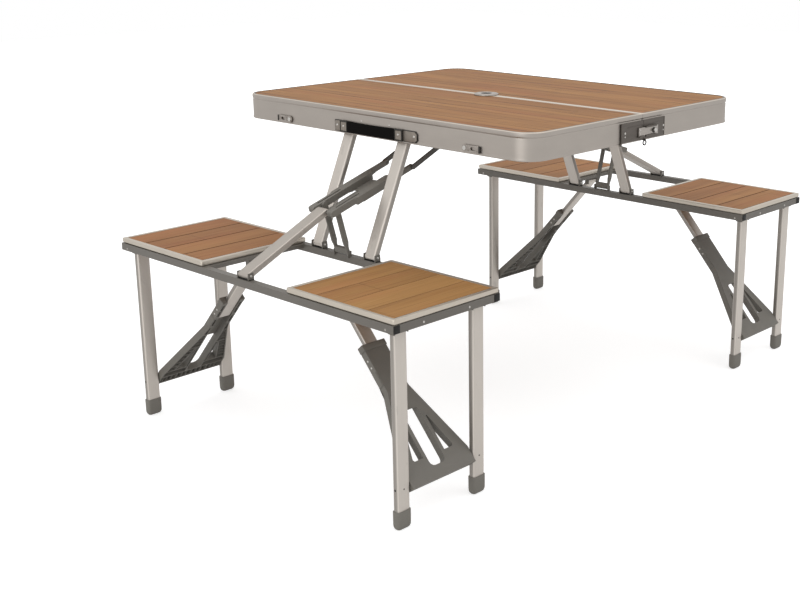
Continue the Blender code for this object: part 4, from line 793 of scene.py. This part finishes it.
for letter, side in SIDES.items():
    body = "seat_unit_" + letter
    dressed("frame_" + letter, "seat_frame_" + letter, body, frame_finish, 0.0006)
    heads, plugs = [], []
    for way in ENDS.values():
        mirror = np.array((side, way, 1.0))
        for x in (0.6087, 0.4953):
            heads.append(rivet(mirror * (x, 0.4169, 0.3797), (0, way, 0), 0.0022))
        for x in (0.4235, 0.6725):
            near, far = (x - 0.0071, 0.4150, 0.3739), (x + 0.0071, 0.4182, 0.3881)
            plugs.append(block(mirror * near, mirror * far, 0.0007))
        inner = mirror * (0.4161, RAIL_RIVET_Y, RAIL_RIVET_Z)
        heads.append(rivet(inner, (-side, 0, 0), 0.0020))
    piece(f"frame_{letter}_rivets", heads, body, pin_finish)
    piece(f"frame_{letter}_plugs", plugs, body, plug_finish)


# The seats: a folded aluminium trim with a ledge, and a bamboo board of four planks whose joints
# run across the seat as dark V grooves. The front seat of half a has much finer joints.

PLANKS = 4
FINE, PLAIN = (0.0010, 0.0005, 0.010), (0.0026, 0.0018, 0.026)
SEATS = {
    ("front", "a"): (shade(179, 135, 80), shade(142, 99, 54), FINE),
    ("back", "a"): (shade(172, 122, 71), shade(130, 84, 47), PLAIN),
    ("front", "b"): (shade(172, 123, 73), shade(131, 86, 48), PLAIN),
    ("back", "b"): (shade(174, 124, 72), shade(131, 86, 47), PLAIN),
}
trim_finish = extrusion("seat_trim_aluminium", shade(194, 186, 174), 0.46)


def trim(low, high):
    """The trim: a section of (inset, height) points round the seat. Insets up to 3.6 mm follow the
    rounded corners, and what is more goes square to the seat's sides."""
    under, top = low[2], high[2]
    inset, height = np.array((
        (0.0034, under), (0.0034, under + 0.0018), (0.0001, under + 0.0020), (0.0, under + 0.0024),
        (0.0, top - 0.0009), (0.0003, top - 0.0003), (0.0009, top), (0.0082, top),
        (0.0088, top - 0.0002), (0.0090, top - 0.0008), (0.0090, under + 0.0018),
        (0.0140, under + 0.0018), (0.0140, under),
    )).T
    points, ways = outline(low[:2], high[:2], (0.004,) * 4, 6)
    inward = np.where(points < (low[:2] + high[:2]) / 2, 1.0, -1.0)
    keep = np.minimum(inset, 0.0036)[:, None, None]
    plan = points[None] + keep * ways[None] + (inset[:, None, None] - keep) * inward[None]
    return skin(lifted(plan, height), loop=True)


def planks(low, high, width, depth):
    """A board whose top is cut by V grooves along x: its outline across y is carried along x."""
    step = (high[1] - low[1]) / PLANKS
    middle = low[1] + step * np.arange(1, PLANKS)
    grooves = np.stack((middle - width / 2, middle, middle + width / 2), -1).ravel()
    drop = np.tile((0.0, depth, 0.0), PLANKS - 1)
    edge = 0.0004
    y = np.concatenate(([low[1]] * 2, [low[1] + edge], grooves, [high[1] - edge], [high[1]] * 2))
    shoulder = high[2] - edge
    z = np.concatenate(([low[2], shoulder, high[2]], high[2] - drop, [high[2], shoulder, low[2]]))
    x = np.array((low[0], low[0] + edge, high[0] - edge, high[0]))
    fall = np.array((edge, 0.0, 0.0, edge))
    tall = np.maximum(z[None] - fall[:, None] * (z > low[2]), low[2])
    wide, long = np.broadcast_to(x[:, None], tall.shape), np.broadcast_to(y, tall.shape)
    return skin(np.stack((wide, long, tall), -1))


for (end, letter), (light, dark, (width, depth, line)) in SEATS.items():
    body = "seat_unit_" + letter
    low, high = (np.array(corner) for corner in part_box(f"seat_trim_{end}_{letter}"))
    piece(
        f"trim_{end}_{letter}", [trim(low, high)], body, trim_finish,
        (f"seat_trim_{end}_{letter}",), 30.0,
    )
    low, high = (np.array(corner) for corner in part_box(f"seat_board_{end}_{letter}"))
    strip = (high[1] - low[1]) / PLANKS
    wood = bamboo(f"bamboo_seat_{end}_{letter}", light, dark, "X", low[1], strip, line)
    piece(
        f"board_{end}_{letter}", [planks(low, high, width, depth)], body, wood,
        (f"seat_board_{end}_{letter}",), 20.0,
    )


# The legs: flat oval aluminium tube with a matte skin, each turning on a pin under the end bar,
# with a rivet low down for the web and a ribbed grey cap on its foot.

LEG_X = {"outer": 0.6485, "inner": 0.4555}
LEG_Y, LEG_PIN_Z, WEB_RIVET_Z = 0.394, 0.372, 0.077


def tube_metal(name, colour, roughness, depth=0.70):
    """Matte anodised tube: fine lines along its length, a cloud in tone, small darker rubs. Where
    the light mark is 1, on the narrow sides, painted shade darkens it by the depth, and where the
    light mark is near a half, at the corners, a painted highlight lightens it."""
    metal = Finish(name, colour, roughness, 0.65)
    lines = metal.noise((700.0, 700.0, 7.0), 3.0)
    cloud = metal.noise((30.0, 30.0, 9.0))
    rubs = metal.noise((55.0, 55.0, 22.0), 5.0)
    tone = metal.between(lines * 0.4 + cloud * 0.6, tinted(colour, 0.88), tinted(colour, 1.10))
    mark = metal.node("ShaderNodeAttribute", {"attribute_name": "mark"}, out="Fac")
    # Painted shade on the narrow sides, as much as the depth.
    shaded = metal.between(mark * depth, tone, tinted(colour, 0.36))
    # A painted highlight at the corners, where the light mark is near a half.
    corner = (mark * (1 - mark) * 4.0).clamped() ** 3.0
    shaded = metal.between(corner * 0.5, shaded, tinted(colour, 1.5))
    metal.vary("Base Color", metal.between((rubs > 0.66) * 0.2, shaded, tinted(colour, 0.6)))
    metal.vary("Roughness", roughness - 0.05 + lines * 0.1 + cloud * 0.05)
    metal.relief(lines, 0.00002)
    return metal


tube_finish = tube_metal("tube_matte", shade(200, 193, 185), 0.42)
cap_finish = Finish("cap_plastic", shade(124, 121, 114), 0.6, Specular_IOR_Level=0.3)
grain = cap_finish.noise(1500.0, 1.0)
cap_finish.vary("Base Color", cap_finish.between(grain, shade(114, 111, 104), shade(136, 132, 125)))
cap_finish.relief(grain, 0.00005)


def flat_tube(start, end, across, width, depth, corner, round_start=True, blunt=1.0):
    """A tube from pivot to pivot: a rounded rectangle, width across and depth up, carried along.
    Past a round pivot the depth follows the half circle, so at angle t it is depth cos t, sin t
    beyond; a blunt end takes cos t to a smaller power. The light mark is cos a squared, for the
    angle a round each corner, so it is 1 on the narrow sides, where a finish paints shade, and 0 on
    the flat ones."""
    start, end, across = (np.array(v, float) for v in (start, end, across))
    length = np.linalg.norm(end - start)
    along = (end - start) / length
    up = np.cross(along, across)
    t = np.radians((84, 70, 50, 25, 0))
    half, ease = depth / 2, np.cos(t) ** blunt
    first = (-half * np.sin(t), ease) if round_start else (np.zeros(1), np.ones(1))
    place = np.concatenate((first[0], length + half * np.sin(t[::-1])))
    high = half * np.concatenate((first[1], ease[::-1]))
    small = np.minimum(corner, high * 0.98)[:, None]
    angle = np.radians(np.concatenate([np.linspace(q, q + 90, 7) for q in (0, 90, 180, 270)]))
    quadrant = np.repeat(np.array(((1, 1), (-1, 1), (-1, -1), (1, -1))), 7, 0)
    wide = quadrant[:, 0] * (width / 2 - small) + small * np.cos(angle)
    tall = quadrant[:, 1] * (high[:, None] - small) + small * np.sin(angle)
    points = start + place[:, None, None] * along + wide[..., None] * across + tall[..., None] * up
    return (*skin(points), np.tile(np.cos(angle) ** 2, len(place)))


def foot_cap(x, y):
    """A foot cap: a rounded rectangle at each level of (half width, height), 15 mm narrower the
    other way."""
    rings = []
    for wide, z in (
        (0.0112, 0.0), (0.0134, 0.0010), (0.0150, 0.0030), (0.0160, 0.0065), (0.0163, 0.0110),
        (0.0164, 0.0345), (0.0162, 0.0356), (0.0156, 0.0360), (0.0150, 0.0357),
    ):
        reach = np.array((wide, wide - 0.0075))
        radius = min(0.0050, 0.95 * reach[1])
        points, _ = outline((x, y) - reach, (x, y) + reach, (radius,) * 4, 5)
        rings.append(np.column_stack((points, np.full(len(points), z))))
    return skin(np.array(rings))


for letter, side in SIDES.items():
    for end, way in ENDS.items():
        body, y = f"legs_{end}_{letter}", way * LEG_Y
        tubes, caps, heads = [], [], []
        for x in (side * leg for leg in LEG_X.values()):
            low, high = (x, y, 0.0036), (x, y, LEG_PIN_Z)
            tubes.append(flat_tube(low, high, (1, 0, 0), 0.030, 0.014, 0.0048, round_start=False))
            caps.append(foot_cap(x, y))
            for face in (-1, 1):
                spot = (x + face * 0.0149, y, WEB_RIVET_Z)
                heads.append(rivet(spot, (face, 0, 0), 0.0024, 0.0009))
            heads.append(rivet((x, y + way * 0.0069, WEB_RIVET_Z), (0, way, 0), 0.0017, 0.0006))
        legs = [f"leg_{spot}_{end}_{letter}" for spot in LEG_X]
        feet = [f"foot_{spot}_{end}_{letter}" for spot in LEG_X]
        piece(f"tubes_{end}_{letter}", tubes, body, tube_finish, legs, 30.0)
        piece(f"caps_{end}_{letter}", caps, body, cap_finish, feet, 30.0)
        piece(f"leg_rivets_{end}_{letter}", heads, body, dark_finish)


# The webs and struts: a moulded web with slots and ribs turns between each pair of legs, and a flat
# tube slides up its collar and hangs from the cross bar.

UNIT_X = 0.552
WEB_IN, WEB_UP = 0.66523, 0.74664
WEB_BACK, WEB_FACE = -0.0072, 0.0068
STRUT_TOP_Y, STRUT_TOP_Z, KNEE_Y, KNEE_Z = 0.131, 0.372, 0.25185, 0.23644

web_finish = Finish("web_plastic", shade(108, 105, 98), 0.55, Specular_IOR_Level=0.3)
mould = web_finish.noise(1400.0, 1.0)
flow = web_finish.noise(25.0)
blotch = mould * 0.5 + flow * 0.5
web_finish.vary("Base Color", web_finish.between(blotch, shade(106, 103, 97), shade(132, 128, 121)))
web_finish.mottle(mould, 0.47, 0.15)
web_finish.relief(mould, 0.00004)


def web_spot(side, way, along, across, out):
    """A place on a web, given along it from its rivets, across it, and out of its smooth face:
    the web leans inward by WEB_IN and rises by WEB_UP for each unit along."""
    y = way * (LEG_Y - WEB_IN * along + WEB_UP * out)
    return side * UNIT_X + across, y, WEB_RIVET_Z + WEB_UP * along + WEB_IN * out


def on_web(side, way, shape):
    """A shape whose points are (along, across, out), put on a web."""
    points, *faces = shape
    return np.stack(web_spot(side, way, *points.T), -1), *faces


def slot_wall(hand, start, stop, thick):
    """A wall as deep as the web along a slot: its section, as thick as given, is carried from one
    (along, across) place to the other."""
    section = ((0.0, WEB_BACK), (thick, WEB_BACK), (thick, 0.0066), (0.0, 0.0066))
    ends = [[(s, hand * (c + wide), out) for wide, out in section] for s, c in (start, stop)]
    return skin(np.array(ends))


web_forms = [block((0.2570, -0.0280, 0.0076), (0.2695, 0.0280, 0.0092), 0.0006)]
for hand in (-1, 1):
    flip = np.array((1, hand, 1))
    for low, high in (
        ((0.2570, 0.0262, -0.0074), (0.2695, 0.0281, 0.0090)),
        ((0.1830, 0.0250, -0.0070), (0.2140, 0.0275, 0.0060)),
    ):
        web_forms.append(block(flip * low, flip * high, 0.0006))
    web_forms.append(slot_wall(hand, (0.0310, 0.0525), (0.1070, 0.0285), 0.0022))
    web_forms.append(slot_wall(hand, (0.0290, 0.0250), (0.1070, 0.0250), 0.0018))
    ribs = [(-0.0105, 0.0105, c, c + 0.0014) for c in (0.0120, 0.0240, 0.0500, 0.0620, 0.0720)]
    # The cross ribs run from the slot, or past its end from nearer the middle, to the web's edge.
    for s in (0.0450, 0.0580, 0.0710, 0.0840, 0.0970, 0.1210, 0.1320, 0.1430):
        first = 0.0310 + 0.0235 * (0.104 - s) / 0.068 if s < 0.104 else 0.0205
        last = 0.0803 - 0.0538 * (s - 0.020) / 0.150 - 0.0012
        ribs.append((s, s + 0.0014, first, last))
    for start, stop, first, last in ribs:
        low, high = flip * (start, first, WEB_BACK), flip * (stop, last, WEB_FACE)
        web_forms.append(block(low, high, 0.0003))

for letter, side in SIDES.items():
    for end, way in ENDS.items():
        body = node = f"leg_web_{end}_{letter}"
        ribs = [on_web(side, way, shape) for shape in web_forms]
        heads = [
            rivet(web_spot(side, way, s, hand * 0.0263, 0.0), (hand, 0, 0), 0.0024, 0.0012)
            for hand in (-1, 1) for s in (0.2240, 0.2385)
        ]
        piece(f"web_ribs_{end}_{letter}", ribs, body, web_finish)
        piece(f"web_rivets_{end}_{letter}", heads, body, pin_finish)
        dressed(f"web_{end}_{letter}", node, body, web_finish, 0.0003)
        body = node = f"leg_strut_{end}_{letter}"
        knee = (side * UNIT_X, way * KNEE_Y, KNEE_Z)
        top = (side * UNIT_X, way * STRUT_TOP_Y, STRUT_TOP_Z)
        strut = flat_tube(knee, top, (1, 0, 0), 0.031, 0.012, 0.0040)
        piece(f"strut_{end}_{letter}", [strut], body, tube_finish, (node,), 30.0)


# The support legs and the long diagonal bar of each unit: flat aluminium tubes that hinge in dark
# bent brackets on the rails.

SUPPORT_FOOT_X, SUPPORT_FOOT_Z = 0.4235, 0.397
BAR_FOOT_X, BAR_FOOT_Z = 0.6705, 0.3965
KNUCKLE_X, KNUCKLE_Z = 0.4790, 0.4860
RAIL_TOP, BRACKET_GAP = 0.3880, 0.0156

# The bar's narrow sides get only a little painted shade.
bar_finish = tube_metal("bar_matte", shade(175, 168, 160), 0.46, 0.12)

for letter, side in SIDES.items():
    tubes = []
    for y in (way * SUPPORT_Y for way in ENDS.values()):
        foot = (side * SUPPORT_FOOT_X, y, SUPPORT_FOOT_Z)
        top = (side * SUPPORT_TOP_X, y, SUPPORT_TOP_Z)
        tubes.append(flat_tube(foot, top, (0, 1, 0), 0.030, 0.014, 0.0045))
    nodes = (f"support_leg_front_{letter}", f"support_leg_back_{letter}")
    piece(
        "support_tubes_" + letter, tubes, "support_legs_" + letter, tube_finish,
        nodes, 30.0,
    )
    foot, top = (side * BAR_FOOT_X, 0, BAR_FOOT_Z), (side * KNUCKLE_X, 0, KNUCKLE_Z)
    bar = flat_tube(foot, top, (0, 1, 0), 0.030, 0.013, 0.0024, blunt=0.45)
    node = "brace_bar_" + letter
    piece("diagonal_bar_" + letter, [bar], node, bar_finish, (node,), 30.0)
    feet, pads, heads = [], [], []
    for x, y, z, half in (
        (SUPPORT_FOOT_X, SUPPORT_Y, SUPPORT_FOOT_Z, 0.0068),
        (SUPPORT_FOOT_X, -SUPPORT_Y, SUPPORT_FOOT_Z, 0.0068),
        (BAR_FOOT_X, 0.0, BAR_FOOT_Z, 0.0065),
    ):
        reach = BRACKET_GAP + 0.0026
        low, high = (side * (x - half), y - reach, RAIL_TOP), (side * (x + half), y + reach, 0.3899)
        pads.append(block(low, high, 0.0003))
        wide = half + 0.0003
        arch = arc(x, z + 0.0055 - half, wide, 0, 180, 8)
        loop = np.concatenate(([(x + wide, RAIL_TOP)], arch, [(x - wide, RAIL_TOP)]))
        for face in (-1, 1):
            wall = y + face * BRACKET_GAP
            sheet = []
            for rise in (-0.0002, 0.0021):
                level = np.full(len(loop), wall + face * rise)
                sheet.append(np.stack((side * loop[:, 0], level, loop[:, 1]), -1))
            feet.append(skin(np.array(sheet)))
            spot = (side * x, wall + face * 0.0021, z - 0.0003)
            heads.append(rivet(spot, (0, face, 0), 0.0026, 0.0012))
    body = "seat_unit_" + letter
    piece(f"bracket_feet_{letter}", feet, body, frame_finish, crease=30.0)
    piece(f"bracket_pads_{letter}", pads, body, plug_finish)
    piece(f"bracket_feet_rivets_{letter}", heads, body, pin_finish)


# The fold linkage's moulded parts: the grooved channel that the diagonal bar runs up into, the two
# flat arms to the seam, and the forked link from the inner rail. A floor in the channel's groove
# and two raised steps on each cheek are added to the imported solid.

arm_finish = Finish("arm_coat", shade(78, 75, 70), 0.45, 0.4)
arm_finish.mottle(arm_finish.noise(600.0), 0.36, 0.2)

low_pivot, high_pivot = np.array((KNUCKLE_X, KNUCKLE_Z)), np.array((0.270, 0.551))
run = (high_pivot - low_pivot) / np.linalg.norm(high_pivot - low_pivot)
down = np.array((-abs(run[1]), -abs(run[0])))
FLOOR_SECTION = ((0.0, 0.0088), (0.107, 0.0088), (0.107, 0.0106), (0.0, 0.0106))
CHEEK_STEPS = ((0.060, 0.150, -0.004, 0.0098, 0.0392), (0.076, 0.134, -0.002, 0.0102, 0.0404))

for letter, side in SIDES.items():
    spots = [low_pivot + run * s + down * d for s, d in FLOOR_SECTION]
    forms = [skin(np.array([[(side * x, y, z) for x, z in spots] for y in (-0.0150, 0.0150)]))]
    for hand in (-1, 1):
        for first, last, top, bottom, out in CHEEK_STEPS:
            low, high = (first, hand * 0.0330, top), (last, hand * out, bottom)
            points, quads, caps = block(low, high, 0.0012)
            x, z = (low_pivot + points[:, :1] * run + points[:, 2:] * down).T
            forms.append((np.stack((side * x, points[:, 1], z), -1), quads, caps))
    body = "brace_channel_" + letter
    piece("trough_" + letter, forms, body, web_finish)
    for name, node, finish, slot, edge in (
        ("channel_", "brace_channel_", web_finish, "dark_plastic", 0.0005),
        ("arms_", "brace_arms_", arm_finish, "dark_metal", 0.0004),
        ("fork_", "lift_link_", web_finish, "dark_plastic", 0.0005),
    ):
        dressed(name + letter, node + letter, node + letter, finish, edge)
